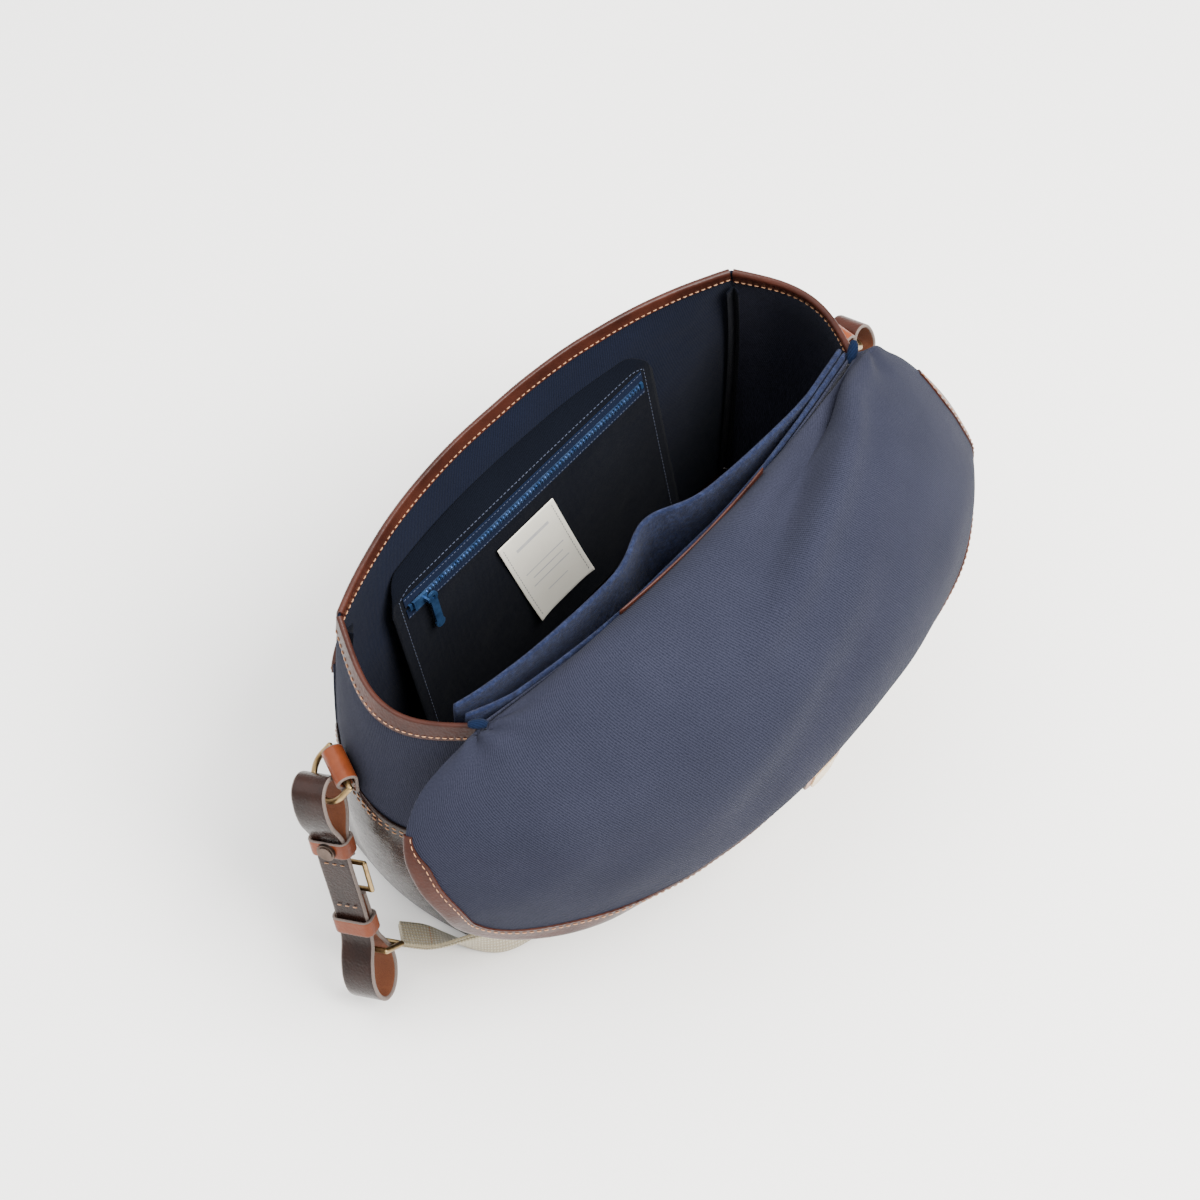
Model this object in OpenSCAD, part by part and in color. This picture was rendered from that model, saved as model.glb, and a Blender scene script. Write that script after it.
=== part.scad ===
/* [Body] */
// Height of the mouth above the floor
body_h = 285; // [275:1:295]
// Half width of the base between its end seams
base_half_w = 205; // [200:1:210]
// How much closer to the middle each end seam is at the mouth
mouth_narrowing = 21; // [18:1:24]
// Distance from the middle of the base to its front seam
front_seam = 62; // [60:1:64]
// Distance from the middle of the base to its back seam
back_seam = 60; // [58:1:62]
// How far the front panel bows out at the middle of the mouth
mouth_bow = 41; // [38:1:42]
// Thickness of the lined canvas
canvas_t = 2; // [1.5:0.1:2.5]

/* [Leather] */
// Thickness of the leather
leather_t = 2; // [1.5:0.1:2.5]
// Height of the leather binding along the mouth
binding_h = 13; // [11:1:15]
// Height of the leather on each end panel
end_leather_h = 162; // [150:1:165]

/* [Pockets] */
// Height of the front pocket
pocket_h = 226; // [215:1:230]
// Depth of the front pocket at its top edge
pocket_top_depth = 16; // [14:1:18]
// Depth of the front pocket at the floor
pocket_base_depth = 29; // [24:1:32]
// Thickness of each felt divider
felt_t = 4; // [3:0.5:4]
// Height of the inner zip above the floor
zip_z = 225; // [222:1:228]
// Length of the inner zip
zip_len = 228; // [220:1:232]

/* [Flap] */
// Half width of the flap at its widest
flap_half_w = 240; // [230:1:242]
// Thickness of the doubled canvas in the flap
flap_t = 3; // [2.5:0.5:3]
// Width of the leather binding along the hem of the flap
hem_w = 13; // [11:1:15]

/* [Hardware] */
// Radius of the ring wire
wire_r = 2.1; // [1.8:0.1:2.4]
// Width of the leather carrying band
band_w = 25; // [24:1:26]
// Thickness of the carrying band
band_t = 3.4; // [3:0.1:3.6]
// Width of the shoulder webbing
webbing_w = 38; // [36:1:40]
// Thickness of the shoulder webbing
webbing_t = 2.6; // [2:0.2:3]

/* [Hidden] */
gap = 0.4;
ring_fn = 48;
canvas_navy = "#2f3a55";
leather_brown = "#6b3520";
leather_cognac = "#a04a22";
felt_blue = "#24408a";
brass = "#8a6d3b";
steel = "#9a9da3";

// ---- The outline of the body at any height ----
function rise(z) = z / body_h;
function corner_x(z) = base_half_w - mouth_narrowing * pow(rise(z), 3);
function twist_y(x, z) = -8 * pow(rise(z), 2) * x / corner_x(body_h);
function front_seam_y(x, z) = -(front_seam - 3 * rise(z)) + twist_y(x, z);
function back_seam_y(z) = back_seam - 6 * pow(rise(z), 2);
function front_bow(z) = 4 + (mouth_bow - 4) * pow(rise(z), 3);
function back_bow(z) = 5 + 15 * pow(rise(z), 2);
function end_bulge(z) = 8 + 10 * rise(z) + 20 * sin(180 * rise(z));
function front_y(x, z) = front_seam_y(x, z) - front_bow(z) * cos(90 * x / corner_x(z));
function back_y(x, z) = back_seam_y(z) + back_bow(z) * cos(90 * x / corner_x(z));
function end_x(v, z) = corner_x(z) + end_bulge(z) * cos(90 * v);
function end_y(v, z, side) = let(a = front_seam_y(side * corner_x(z),
    z)) a + (back_seam_y(z) - a) * (v + 1) / 2;
function end_v(y, z, side) = let(a = front_seam_y(side * corner_x(z),
    z)) 2 * (y - a) / (back_seam_y(z) - a) - 1;
function end_x_at(y, z, side) = end_x(end_v(y, z, side), z);
function steps(a, b, n) = [for (i = [0:n]) a + (b - a) * i / n];

// ---- Closed solids made of two facing grids of points, or of rings along a path ----
function flat_list(grid) = [for (row = grid) for (p = row) p];
function quad(a, b, c, d) = [[a, b, c], [a, c, d]];
module slab(near, far) {
    rows = len(near);
    cols = len(near[0]);
    n = rows * cols;
    faces = [
        for (i = [0:rows - 2]) for (j = [0:cols - 2])
            each quad(i * cols + j, i * cols + j + 1, (i + 1) * cols + j + 1, (i + 1) * cols + j),
        for (i = [0:rows - 2]) for (j = [0:cols - 2])
            each quad(n + i * cols + j, n + (i + 1) * cols + j, n + (i + 1) * cols + j + 1,
                n + i * cols + j + 1),
        for (i = [0:rows - 2]) each quad(i * cols, (i + 1) * cols, n + (i + 1) * cols, n + i * cols),
        for (i = [0:rows - 2])
            each quad((i + 1) * cols - 1, n + (i + 1) * cols - 1, n + (i + 2) * cols - 1,
                (i + 2) * cols - 1),
        for (j = [0:cols - 2]) each quad(j, n + j, n + j + 1, j + 1),
        for (j = [0:cols - 2])
            each quad((rows - 1) * cols + j, (rows - 1) * cols + j + 1, n + (rows - 1) * cols + j + 1,
                n + (rows - 1) * cols + j)];
    polyhedron(points = concat(flat_list(near), flat_list(far)), faces = faces);
}
// caps lists the convex pieces of a ring, as its point numbers
module tube(rings, caps) {
    k = len(rings[0]);
    m = len(rings);
    faces = [
        for (i = [0:m - 2]) for (j = [0:k - 1])
            each quad(i * k + j, i * k + (j + 1) % k, (i + 1) * k + (j + 1) % k, (i + 1) * k + j),
        for (c = caps) each quad(c[3], c[2], c[1], c[0]),
        for (c = caps) each quad(for_last(c[0], k, m), for_last(c[1], k, m), for_last(c[2], k, m),
            for_last(c[3], k, m))];
    polyhedron(points = flat_list(rings), faces = faces);
}
function for_last(j, k, m) = (m - 1) * k + j;
u_caps = [[0, 1, 6, 7], [1, 2, 5, 6], [2, 3, 4, 5]];
strip_caps = [[0, 1, 2, 3]];

// A sheet facing the front: height(x, z) gives its outer face, and it thickens towards +Y
module sheet_y(xs, zs, outer, inner) {
    slab([for (z = zs) [for (x = xs) [x, outer(x, z), z]]], [for (z = zs) [for (x = xs) [x, inner(x,
        z), z]]]);
}
// The same, on a body panel: us runs from -1 to 1 between the end seams at every height
module panel_y(us, zs, outer, inner) {
    slab([for (z = zs) [for (u = us) let(x = seam_x(u, z)) [x, outer(x, z), z]]],
        [for (z = zs) [for (u = us) let(x = seam_x(u, z)) [x, inner(x, z), z]]]);
}
function seam_x(u, z) = u * (corner_x(z) - 1);

// ---- Body ----
function plan_outline(inset) = concat(
    [for (u = steps(-1, 1, 12)) let(x = u * (corner_x(0) - inset)) [x, front_y(x, 0) + inset]],
    [for (v = steps(-0.8, 0.8, 6)) [end_x(v, 0) - inset, end_y(v, 0, 1)]],
    [for (u = steps(1, -1, 12)) let(x = u * (corner_x(0) - inset)) [x, back_y(x, 0) - inset]],
    [for (v = steps(0.8, -0.8, 6)) [-end_x(v, 0) + inset, end_y(v, 0, -1)]]);
base_t = 3;
wall_z0 = base_t + gap;
module base_leather() color(leather_brown) linear_extrude(base_t) polygon(plan_outline(0));
module base_board() color(canvas_navy) translate([0, 0,
    base_t]) linear_extrude(2) polygon(plan_outline(5));

wall_zs = concat(steps(wall_z0, body_h - 2 - binding_h, 7), [body_h - 2]);
module front_panel() color(canvas_navy) panel_y(steps(-1, 1, 14), wall_zs,
    function(x, z) front_y(x, z), function(x, z) front_y(x, z) + canvas_t);
module back_panel() color(canvas_navy) panel_y(steps(-1, 1, 14), wall_zs,
    function(x, z) back_y(x, z) - canvas_t, function(x, z) back_y(x, z));

// End panels run between the seams, inside the front and back panels
end_dip = [4, 14];
function mouth_z(v, side) = body_h - 2 - (side > 0 ? end_dip[1] : end_dip[0]) * cos(90 * v);
end_vs = steps(-0.92, 0.92, 8);
module end_sheet(side, z0, top, out0, out1) {
    rows = [for (i = [0:8]) [for (v = end_vs) [v,
        i == 8 ? top(v) : z0 + (top(v) - binding_h - z0) * i / 7]]];
    inner = [for (r = rows) [for (q = r) [side * (end_x(q[0], q[1]) + out0), end_y(q[0], q[1], side),
        q[1]]]];
    outer = [for (r = rows) [for (q = r) [side * (end_x(q[0], q[1]) + out1), end_y(q[0], q[1], side),
        q[1]]]];
    if (side > 0) slab(outer, inner);
    else slab(inner, outer);
}
module end_panel(side) color(canvas_navy)
    end_sheet(side, wall_z0, function(v) mouth_z(v, side), -canvas_t, 0);
module end_panel_right() end_panel(1);
module end_panel_left() end_panel(-1);
function leather_top(v) = end_leather_h + 20 * pow(cos(90 * (v + 0.35)), 2);
module end_leather(side) color(leather_brown)
    end_sheet(side, wall_z0, function(v) leather_top(v), gap, gap + leather_t);
module end_leather_right() end_leather(1);
module end_leather_left() end_leather(-1);

// The bindings are folded over the mouth: a U section carried along the edge
function u_section(place, n, z, wall, drop = binding_h) = let(a = gap + leather_t * 0.75, b = gap)
    [for (q = [[a, -drop], [a, a], [-wall - a, a], [-wall - a, -drop], [-wall - b, -drop],
        [-wall - b, b], [b, b],
        [b, -drop]])
        let(p = place(z + min(q[1], 0))) [p[0] + n[0] * q[0], p[1] + n[1] * q[0], z + q[1]]];
module binding_front() color(leather_brown) tube([for (u = concat([0.985], steps(6 / 7, -6 / 7, 12),
    [-0.985]))
    u_section(function(h) [seam_x(u, h), front_y(seam_x(u, h), h)], [0, -1], body_h - 2, canvas_t)],
        u_caps);
binding_vs = concat([-0.9], [for (i = [1:7]) end_vs[i]], [0.9]);
module binding_end(side) color(leather_brown) tube([for (i = [0:8]) let(v = binding_vs[side > 0 ? i
    : 8 - i])
    u_section(function(h) [side * end_x(v, h), end_y(v, h, side)], [side, 0], mouth_z(v, side),
        canvas_t)], u_caps);
module binding_right() binding_end(1);
module binding_left() binding_end(-1);

// ---- Front pocket: a shallow tray whose rim is sewn to the front panel ----
function pocket_depth(x, z) = (pocket_base_depth + (pocket_top_depth - pocket_base_depth) * z / pocket_h)
    * (1 - pow(abs(x) / corner_x(z), 8));
function pocket_y(x, z) = front_y(x, z) - gap - canvas_t - pocket_depth(x, z);
pocket_us = [-0.99, -0.96, -0.9, -0.8, -0.6, -0.4, -0.2, 0, 0.2, 0.4, 0.6, 0.8, 0.9, 0.96, 0.99];
pocket_binding_h = 6;
pocket_zs = concat(steps(wall_z0, pocket_h - 2 - pocket_binding_h, 7), [pocket_h - 2]);
module front_pocket() color(canvas_navy) panel_y(pocket_us, pocket_zs,
    function(x, z) pocket_y(x, z), function(x, z) pocket_y(x, z) + canvas_t);
module pocket_binding() color(leather_brown) tube([for (u = concat([-0.985],
    [for (i = [1:13]) pocket_us[i]], [0.985]))
    u_section(function(h) [seam_x(u, h), pocket_y(seam_x(u, h), h)], [0, -1], pocket_h - 2, canvas_t,
        pocket_binding_h)], u_caps);

// ---- Lock: the receiving plate on its leather patch ----
lock_z = 204;
lock_lean = atan((pocket_y(0, 190) - pocket_y(0, 218)) / 28);
module on_lock_face() translate([0, pocket_y(0, lock_z) - 1, lock_z]) rotate([90 + lock_lean, 0,
    0]) children();
module rounded_plate(w, h, r, t) linear_extrude(t) hull()
    for (x = [-1, 1], y = [-1, 1]) translate([x * (w / 2 - r), y * (h / 2 - r)]) circle(r, $fn = 32);
lock_rivet_xs = [-13, 13];
module lock_patch() color(leather_brown) on_lock_face() rounded_plate(44, 28, 6, 1.8);
module lock_plate() color(brass) on_lock_face() translate([0, 0, 1.8]) difference() {
    linear_extrude(1.4) union() {
        square([34, 20], center = true);
        for (x = lock_rivet_xs) translate([x, 0]) circle(11, $fn = ring_fn);
    }
    translate([-9, 0, -1]) cube([18, 5, 4]);
}
catch_travel = 3;
module lock_catch() color(brass) on_lock_face() translate([0, -7, 3.4]) rounded_plate(13, 4.4, 2, 2.2);
module lock_rivets() color(brass) on_lock_face() for (x = lock_rivet_xs)
    translate([x, -4, 3.2]) cylinder(r = 2.4, h = 0.9, $fn = ring_fn);

// ---- Inner zip pocket, hung from the front panel and leaning into the bag ----
zip_lean = 0.2;
zip_y = -64;
zip_x1 = 126;
zip_x0 = zip_x1 - zip_len;
pocket_x1 = zip_x1 + 16;
pocket_x0 = zip_x0 - 16;
function lining_y(x, z) = z > 238 ? zip_y + (zip_z - 238) * zip_lean
        + (front_y(x, 246) + canvas_t + gap - zip_y - (zip_z - 238) * zip_lean) * (z - 238) / 8
    : z > 80 ? zip_y + (zip_z - z) * zip_lean
    : zip_y + (zip_z - 80) * zip_lean - (80 - z) * 0.6;
module zip_pocket() color(canvas_navy) sheet_y(steps(pocket_x0, pocket_x1, 8),
    [52, 66, 80, 120, 160, 200, 238, 246], function(x, z) lining_y(x, z), function(x, z) lining_y(x,
        z) + 1.2);
lean_angle = atan(zip_lean);
module on_lining(z) translate([0, lining_y(0, z) + 1.3, z]) rotate([lean_angle, 0, 0]) children();
module zip_tape() color("#1c3f7a") on_lining(zip_z) for (s = [-1, 1])
    translate([zip_x0 - 5, 0, s * 6 - 4.6]) cube([zip_len + 10, 0.7, 9.2]);
tooth_pitch = 3;
module zip_teeth() color(steel) on_lining(zip_z) {
    translate([zip_x0, 0.7, -2.2]) cube([zip_len, 0.5, 4.4]);
    for (i = [0:floor(zip_len / tooth_pitch) - 1], s = [0, 1])
        translate([zip_x0 + (i + s / 2) * tooth_pitch, 1.2, s * 2.2 - 2.2]) cube([1.2, 0.8, 2.2]);
}
module zip_stops() color(steel) on_lining(zip_z) for (x = [zip_x0 - 3, zip_x1 + 0.4])
    translate([x, 0.7, -2.6]) cube([2.4, 2, 5.2]);
slider_x = zip_x1 - 6;
module zip_slider() color("#2c5a96") on_lining(zip_z) translate([slider_x, 2.3, 0]) {
    translate([-6, 0, -4.2]) cube([12, 2, 8.4]);
    for (s = [-1, 1]) translate([-4, 2, s * 1.2 - 0.4]) cube([1.6, 4.6, 0.8]);
    translate([-4, 5, -1.6]) cube([1.6, 1.6, 3.2]);
}
pull_pivot_y = 4.4;
module zip_pull() color("#2c5a96") on_lining(zip_z) translate([slider_x - 8.6, pull_pivot_y + 1.2,
    -3]) difference() {
    rotate([90, 0, 0]) linear_extrude(1.8, center = true) union() {
        circle(4.2, $fn = ring_fn);
        translate([-3, -27]) square([6, 25]);
        translate([0, -27]) circle(3.9, $fn = ring_fn);
    }
    rotate([90, 0, 0]) cylinder(r = 1.6, h = 4, center = true, $fn = ring_fn);
}
module care_label() color("#d9d4c4") slab(
    [for (t = [0, 1]) [for (s = [-1, 1]) let(z = 112 + 92 * t) [4 + 18 * t + 27.5 * s, lining_y(0,
        z) + 1.4, z]]],
    [for (t = [0, 1]) [for (s = [-1, 1]) let(z = 112 + 92 * t) [4 + 18 * t + 27.5 * s, lining_y(0,
        z) + 2.3, z]]]);

// ---- Felt dividers ----
felt_z0 = 7;
felt_z1 = 281;
function rear_curve(x, z) = min(68 * (1 - 0.42 * pow(abs(x) / 196, 4)) - 0.02 * x,
    back_y(x, z) - canvas_t - felt_t / 2 - 1);
function front_curve(x, z) = min((48 - 0.04 * x) * (1 - 0.34 * pow(abs(x) / 200,
    6)) - 14 * exp(-pow((x - 4) / 26, 2)),
    rear_curve(x, z) - felt_t - 0.8);
felt_xs = [-181, -165, -140, -110, -80, -50, -32, -18, -4, 10, 24, 38, 60, 90, 120, 145, 168, 183];
module felt_front() color(felt_blue) sheet_y(felt_xs, steps(felt_z0, felt_z1, 4),
    function(x, z) front_curve(x, z) - felt_t / 2, function(x, z) front_curve(x, z) + felt_t / 2);
module felt_rear() color(felt_blue) sheet_y(felt_xs, steps(felt_z0, felt_z1, 4),
    function(x, z) rear_curve(x, z) - felt_t / 2, function(x, z) rear_curve(x, z) + felt_t / 2);
module slip_pocket_edge() color(leather_brown) sheet_y(steps(-70, 70, 6), [body_h, body_h + 5,
    body_h + 10],
    function(x, z) back_y(x, body_h) - 1.5, function(x, z) back_y(x, body_h));
module corner_tab(side) color(felt_blue)
    translate([side * (corner_x(body_h) + 3), back_seam_y(body_h) - 2,
        body_h + gap]) cylinder(r = 3.4, h = 9, $fn = 24);
module corner_tab_right() corner_tab(1);
module corner_tab_left() corner_tab(-1);

// ---- Ring tabs: a leather roll on each end panel that holds a D ring ----
roll_r = 7.5;
bar_r = wire_r + 0.3;
roll_len = 27;
tab_place = [[-26, 200, 24], [2, 200, 0]];
function tab_y(side) = side > 0 ? tab_place[0][0] : tab_place[1][0];
function tab_z(side) = side > 0 ? tab_place[0][1] : tab_place[1][1];
function tab_turn(side) = side > 0 ? -tab_place[0][2] : tab_place[1][2];
tab_gap = [3.4, 2];
function tab_x(side) = side * (end_x_at(tab_y(side), tab_z(side),
    side) + roll_r + tab_gap[side > 0 ? 0 : 1]);
module at_tab(side) translate([tab_x(side), tab_y(side), tab_z(side)]) rotate([0, 0,
    tab_turn(side)]) children();
module ring_tab(side) color(leather_cognac) at_tab(side) difference() {
    union() {
        rotate([90, 0, 0]) cylinder(r = roll_r, h = roll_len, center = true, $fn = ring_fn);
        translate([side > 0 ? -roll_r : roll_r - 2.6, -roll_len / 2, -16]) cube([2.6, roll_len, 16]);
    }
    rotate([90, 0, 0]) cylinder(r = bar_r, h = roll_len + 2, center = true, $fn = ring_fn);
}
module ring_tab_right() ring_tab(1);
module ring_tab_left() ring_tab(-1);
ring_half_w = 17;
ring_leg = 9;
ring_swing = 42;
module d_ring(side) color(brass) at_ring(side) {
    rotate([90, 0, 0]) cylinder(r = wire_r, h = ring_half_w * 2, center = true, $fn = ring_fn);
    for (s = [-1, 1]) translate([0, s * ring_half_w, 0]) {
        sphere(wire_r, $fn = ring_fn);
        rotate([0, 90, 0]) cylinder(r = wire_r, h = ring_leg, $fn = ring_fn);
    }
    ring_bow(wire_r);
}
module at_ring(side)
    at_tab(side) rotate([0, side > 0 ? 90 - ring_swing : 90 + ring_swing, 0]) children();
module ring_bow(r) translate([ring_leg, 0, 0]) rotate([0, 0, -90]) rotate_extrude(angle = 180,
    $fn = ring_fn)
    translate([ring_half_w, 0]) circle(r, $fn = 24);
// The leather gives way where the ring's bow bears on it.
ring_relief = 0.35;
module ring_dent(side) at_ring(side) {
    ring_bow(wire_r + ring_relief);
    for (s = [-1, 1]) translate([0, s * ring_half_w, 0]) rotate([0, 90, 0])
        cylinder(r = wire_r + ring_relief, h = ring_leg + 0.1, $fn = ring_fn);
}
module d_ring_right() d_ring(1);
module d_ring_left() d_ring(-1);

// ---- Carrying band: one strip in a plane that leans out and back, listed top to bottom ----
band_top = [252, -33, 190];
band_lean = [17.9, -16.7, 17];
module at_band() translate(band_top) rotate(band_lean) children();
band_route = [[-4, -62], [-4, -44], [-11, -28], [-12.5, -12], [-8.5, 1], [0, 5.5], [8.5, 1], [11.5,
    -12], [10, -26],
    [3, -44], [2.5, -70], [2, -110], [4, -136], [11, -150], [15, -164], [13, -178], [6, -187], [-2, -188],
    [-9, -183], [-14, -172], [-14, -158], [-9, -145], [-4.5, -134], [-3.5, -110], [-3, -96]];
function unit(v) = v / norm(v);
function left_of(d) = [-d[1], d[0]];
function route_normal(r, i) = left_of(unit(r[min(i + 1, len(r) - 1)] - r[max(i - 1, 0)]));
function strip(r, t) = concat([for (i = [0:len(r) - 1]) r[i] + route_normal(r, i) * t / 2],
    [for (i = [len(r) - 1:-1:0]) r[i] - route_normal(r, i) * t / 2]);
module upright(w) rotate([90, 0, 0]) linear_extrude(w, center = true) children();
module carrying_band() color(leather_brown) difference() {
    at_band() upright(band_w) polygon(strip(band_route, band_t));
    ring_dent(1);
}
module keeper(v, shift, height) color(leather_cognac) at_band() translate([shift, 0, v]) difference() {
    translate([-8, -band_w / 2 - 2.6, -height / 2]) cube([16, band_w + 5.2, height]);
    translate([-6, -band_w / 2 - 0.4, -height]) cube([12, band_w + 0.8, height * 2]);
}
module keeper_upper() keeper(-51, -0.4, 13);
module keeper_lower() keeper(-122, -0.4, 13);
module band_stud() color("#4a3a30") at_band() translate([7.7, 0, -51]) rotate([0, 90, 0]) {
    cylinder(r = 6.5, h = 2.2, $fn = ring_fn);
    translate([0, 0, 2.2]) cylinder(r = 5, h = 0.9, $fn = ring_fn);
}
buckle_x = -8.4;
buckle_v = -86;
module at_buckle() at_band() translate([buckle_x, 0, buckle_v]) children();
module buckle_frame() color(brass) at_buckle() {
    for (s = [-1, 1]) translate([0, 0, s * 12]) rotate([90, 0, 0]) cylinder(r = 1.8, h = 28,
        center = true, $fn = ring_fn);
    for (s = [-1, 1]) translate([0, s * 14, 0]) cylinder(r = 1.8, h = 24, center = true, $fn = ring_fn);
    for (s = [-1, 1], t = [-1, 1]) translate([0, s * 14, t * 12]) sphere(1.8, $fn = ring_fn);
}
prong_r = 1.3;
module buckle_prong() color(brass) at_buckle() translate([0, 0, 12]) difference() {
    union() {
        rotate([90, 0, 0]) cylinder(r = 3.4, h = 4, center = true, $fn = ring_fn);
        translate([-2.2 - prong_r, 0, -24.4]) cylinder(r = prong_r, h = 24, $fn = ring_fn);
    }
    rotate([90, 0, 0]) cylinder(r = 1.88, h = 6, center = true, $fn = ring_fn);
}

// ---- Shoulder strap: a ring in the foot of the band, then webbing on edge behind the bag ----
ring_bar = 30;
ring_arm = 21;
module at_strap_ring() at_band() translate([-3, 0, -150]) rotate([0, -30, 0]) children();
module strap_ring() color(brass) at_strap_ring() {
    for (x = [0, -ring_arm]) translate([x, 0, 0]) rotate([90, 0, 0])
        cylinder(r = wire_r, h = ring_bar, center = true, $fn = ring_fn);
    for (s = [-1, 1]) translate([0, s * ring_bar / 2, 0]) rotate([0, -90, 0])
        cylinder(r = wire_r, h = ring_arm, $fn = ring_fn);
    for (x = [0, -ring_arm], s = [-1, 1]) translate([x, s * ring_bar / 2, 0]) sphere(wire_r,
        $fn = ring_fn);
}
// Along the webbing: x, y, the height of its middle, its width, and how far it is turned from upright
webbing_route = [[246, 26, 33, 22, 70], [236, 36, 27, 26, 60], [226, 48, 23, 32, 35], [214, 62, 21,
    36, 12],
    [200, 75, 20, 38, 0], [182, 83, 20, 38, 0], [156, 86, 20, 38, 0], [120, 87, 20, 38, 0], [60, 88,
        20, 38, 0],
    [0, 88, 20, 38, 0], [-60, 88, 20, 38, 0], [-110, 88, 20, 38, 0], [-134, 90, 20, 38, 0], [-147,
        96, 20, 38, 0],
    [-151, 105, 20, 38, 0], [-146, 114, 20, 38, 0], [-130, 118, 20, 38, 0], [-90, 117, 20, 38, 0],
    [-30, 116, 20, 38, 0], [20, 116, 20, 38, 0], [42, 119, 20, 38, 0], [53, 126, 20, 38, 0],
    [54, 135, 20, 38, 0], [45, 142, 20, 38, 0], [20, 144, 20, 38, 0], [-30, 143, 20, 38, 0],
    [-90, 140, 20, 38, 0], [-150, 132, 20, 38, 0], [-192, 117, 20, 38, 0], [-221, 98, 23, 38, 0],
    [-238, 78, 33, 38, 0], [-246, 61, 52, 38, 0], [-249, 46, 78, 36, 0], [-250, 34, 104, 31, 0],
    [-251, 26, 124, 26, 0]];
function route_place(i) = let(r = webbing_route[i]) [r[0], r[1], r[2]];
function route_way(i) = unit(route_place(min(i + 1, len(webbing_route) - 1)) - route_place(max(i - 1, 0)));
function webbing_section(i) = let(d = route_way(i), side = unit(cross(d, [0, 0, 1])), up = cross(side, d),
    a = webbing_route[i][4], w = up * cos(a) + side * sin(a), thin = cross(d, w),
    p = route_place(i), hw = w * webbing_route[i][3] / 2, ht = thin * webbing_t / 2)
    [p - hw - ht, p - hw + ht, p + hw + ht, p + hw - ht];
module shoulder_strap() color("#b9ad86")
    tube([for (i = [0:len(webbing_route) - 1]) webbing_section(i)], strip_caps);
// The far end of the webbing is sewn between the tails of a leather loop on the left ring
left_route = [[-3.4, -58], [-3.4, -24], [-8.5, -14], [-9, -4], [-6, 4], [0, 7], [6, 4], [9, -4],
    [8.5, -14],
    [3.4, -24], [3.4, -58]];
module strap_end_left() color(leather_brown) difference() {
    translate([tab_x(-1) - 18, 3, 186]) rotate([22, 0, 0]) upright(band_w) polygon(strip(left_route, 2.4));
    ring_dent(-1);
}

// ---- Flap: one cloth thrown back over the back panel, cut into three stiff panels ----
crest_r = 21.5;
drape_r = 116.2;
crest_a = 75;
drape_a = -5;
root_len = 30;
drape_turn = 107 / 217;
function drape_at(s) = s < root_len
    ? let(p = crest_a - s / root_len * (crest_a - drape_a))
        crest_r * [sin(crest_a) - sin(p), cos(p) - cos(crest_a)]
    : let(p = drape_a - (s - root_len) * drape_turn)
        crest_r * [sin(crest_a) - sin(drape_a), cos(drape_a) - cos(crest_a)]
        + drape_r * [sin(drape_a) - sin(p), cos(p) - cos(drape_a)];
rim_y = back_y(0, body_h) - 4;
rim_z = body_h - 1;
function flap_point(x, s) = let(q = drape_at(s)) [x, rim_y + q[0], rim_z + q[1]];
flap_s = [root_len, 84, 188, 247];
hem_start = 95;
hem_power = 0.77;
function flap_half(s) = s < hem_start ? 186 + (flap_half_w - 186) * pow(sin(90 * s / hem_start), 2)
    : flap_half_w * pow(max(0.001, 1 - pow((s - hem_start) / (flap_s[3] - hem_start),
        2 / hem_power)), hem_power / 2);
function blend_point(a, b, t, x) = let(q = a + (b - a) * t) [x, q[1], q[2]];
module flap_panel(k, s_a, s_b, inset) {
    a = flap_point(0, s_a);
    b = flap_point(0, s_b);
    dir = unit(b - a);
    n = [0, -dir[2], dir[1]] * flap_t / 2;
    ts = steps(0, 1, k);
    cols = steps(-1, 1, 10);
    grid = [for (t = ts) [for (u = cols) blend_point(a, b, t,
        u * (flap_half(s_a + (s_b - s_a) * t) - inset))]];
    slab([for (r = grid) [for (p = r) p + n]], [for (r = grid) [for (p = r) p - n]]);
}
seam = 1.2;
fold_seam = 5.2;
module flap_root() color(canvas_navy) flap_panel(4, flap_s[0], flap_s[1] - seam, 0);
module flap_middle() color(canvas_navy) flap_panel(6, flap_s[1] + seam, flap_s[2] - fold_seam,
    hem_w + gap);
// The hem binding keeps the outline of the flap, on the plane of the panel that it edges
function hem_pair(s, s_a, s_b, side) = let(a = flap_point(0, s_a), b = flap_point(0, s_b),
    t = (s - s_a) / (s_b - s_a))
    [blend_point(a, b, t, side * flap_half(s)), blend_point(a, b, t, side * (flap_half(s) - hem_w))];
module hem_side(s_a, s_b, side) {
    dir = unit(flap_point(0, s_b) - flap_point(0, s_a));
    n = [0, -dir[2], dir[1]] * (flap_t / 2 + 0.6);
    grid = [for (s = steps(s_a, s_b, 6)) let(q = hem_pair(s, s_a, s_b, side)) side > 0 ? [q[1], q[0]] : q];
    slab([for (r = grid) [for (p = r) p + n]], [for (r = grid) [for (p = r) p - n]]);
}
module flap_binding_middle() color(leather_brown) for (side = [-1, 1])
    hem_side(flap_s[1] + seam, flap_s[2] - fold_seam, side);
function hem_curve(half_w, depth, s_from) = let(start = asin(pow((s_from - hem_start) / depth,
    1 / hem_power)))
    [for (t = steps(start, 180 - start, 22))
        [half_w * sign(cos(t)) * pow(abs(cos(t)), hem_power), hem_start + depth * pow(sin(t), hem_power)]];
hem_depth = flap_s[3] - hem_start;
front_s = flap_s[2] + fold_seam;
module flap_curves(curves, t) {
    a = flap_point(0, front_s);
    b = flap_point(0, flap_s[3]);
    dir = unit(b - a);
    n = [0, -dir[2], dir[1]] * t / 2;
    rows = [for (c = curves) [for (q = c) blend_point(a, b, (q[1] - front_s) / (flap_s[3] - front_s),
        q[0])]];
    slab([for (r = rows) [for (p = r) p - n]], [for (r = rows) [for (p = r) p + n]]);
}
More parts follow.
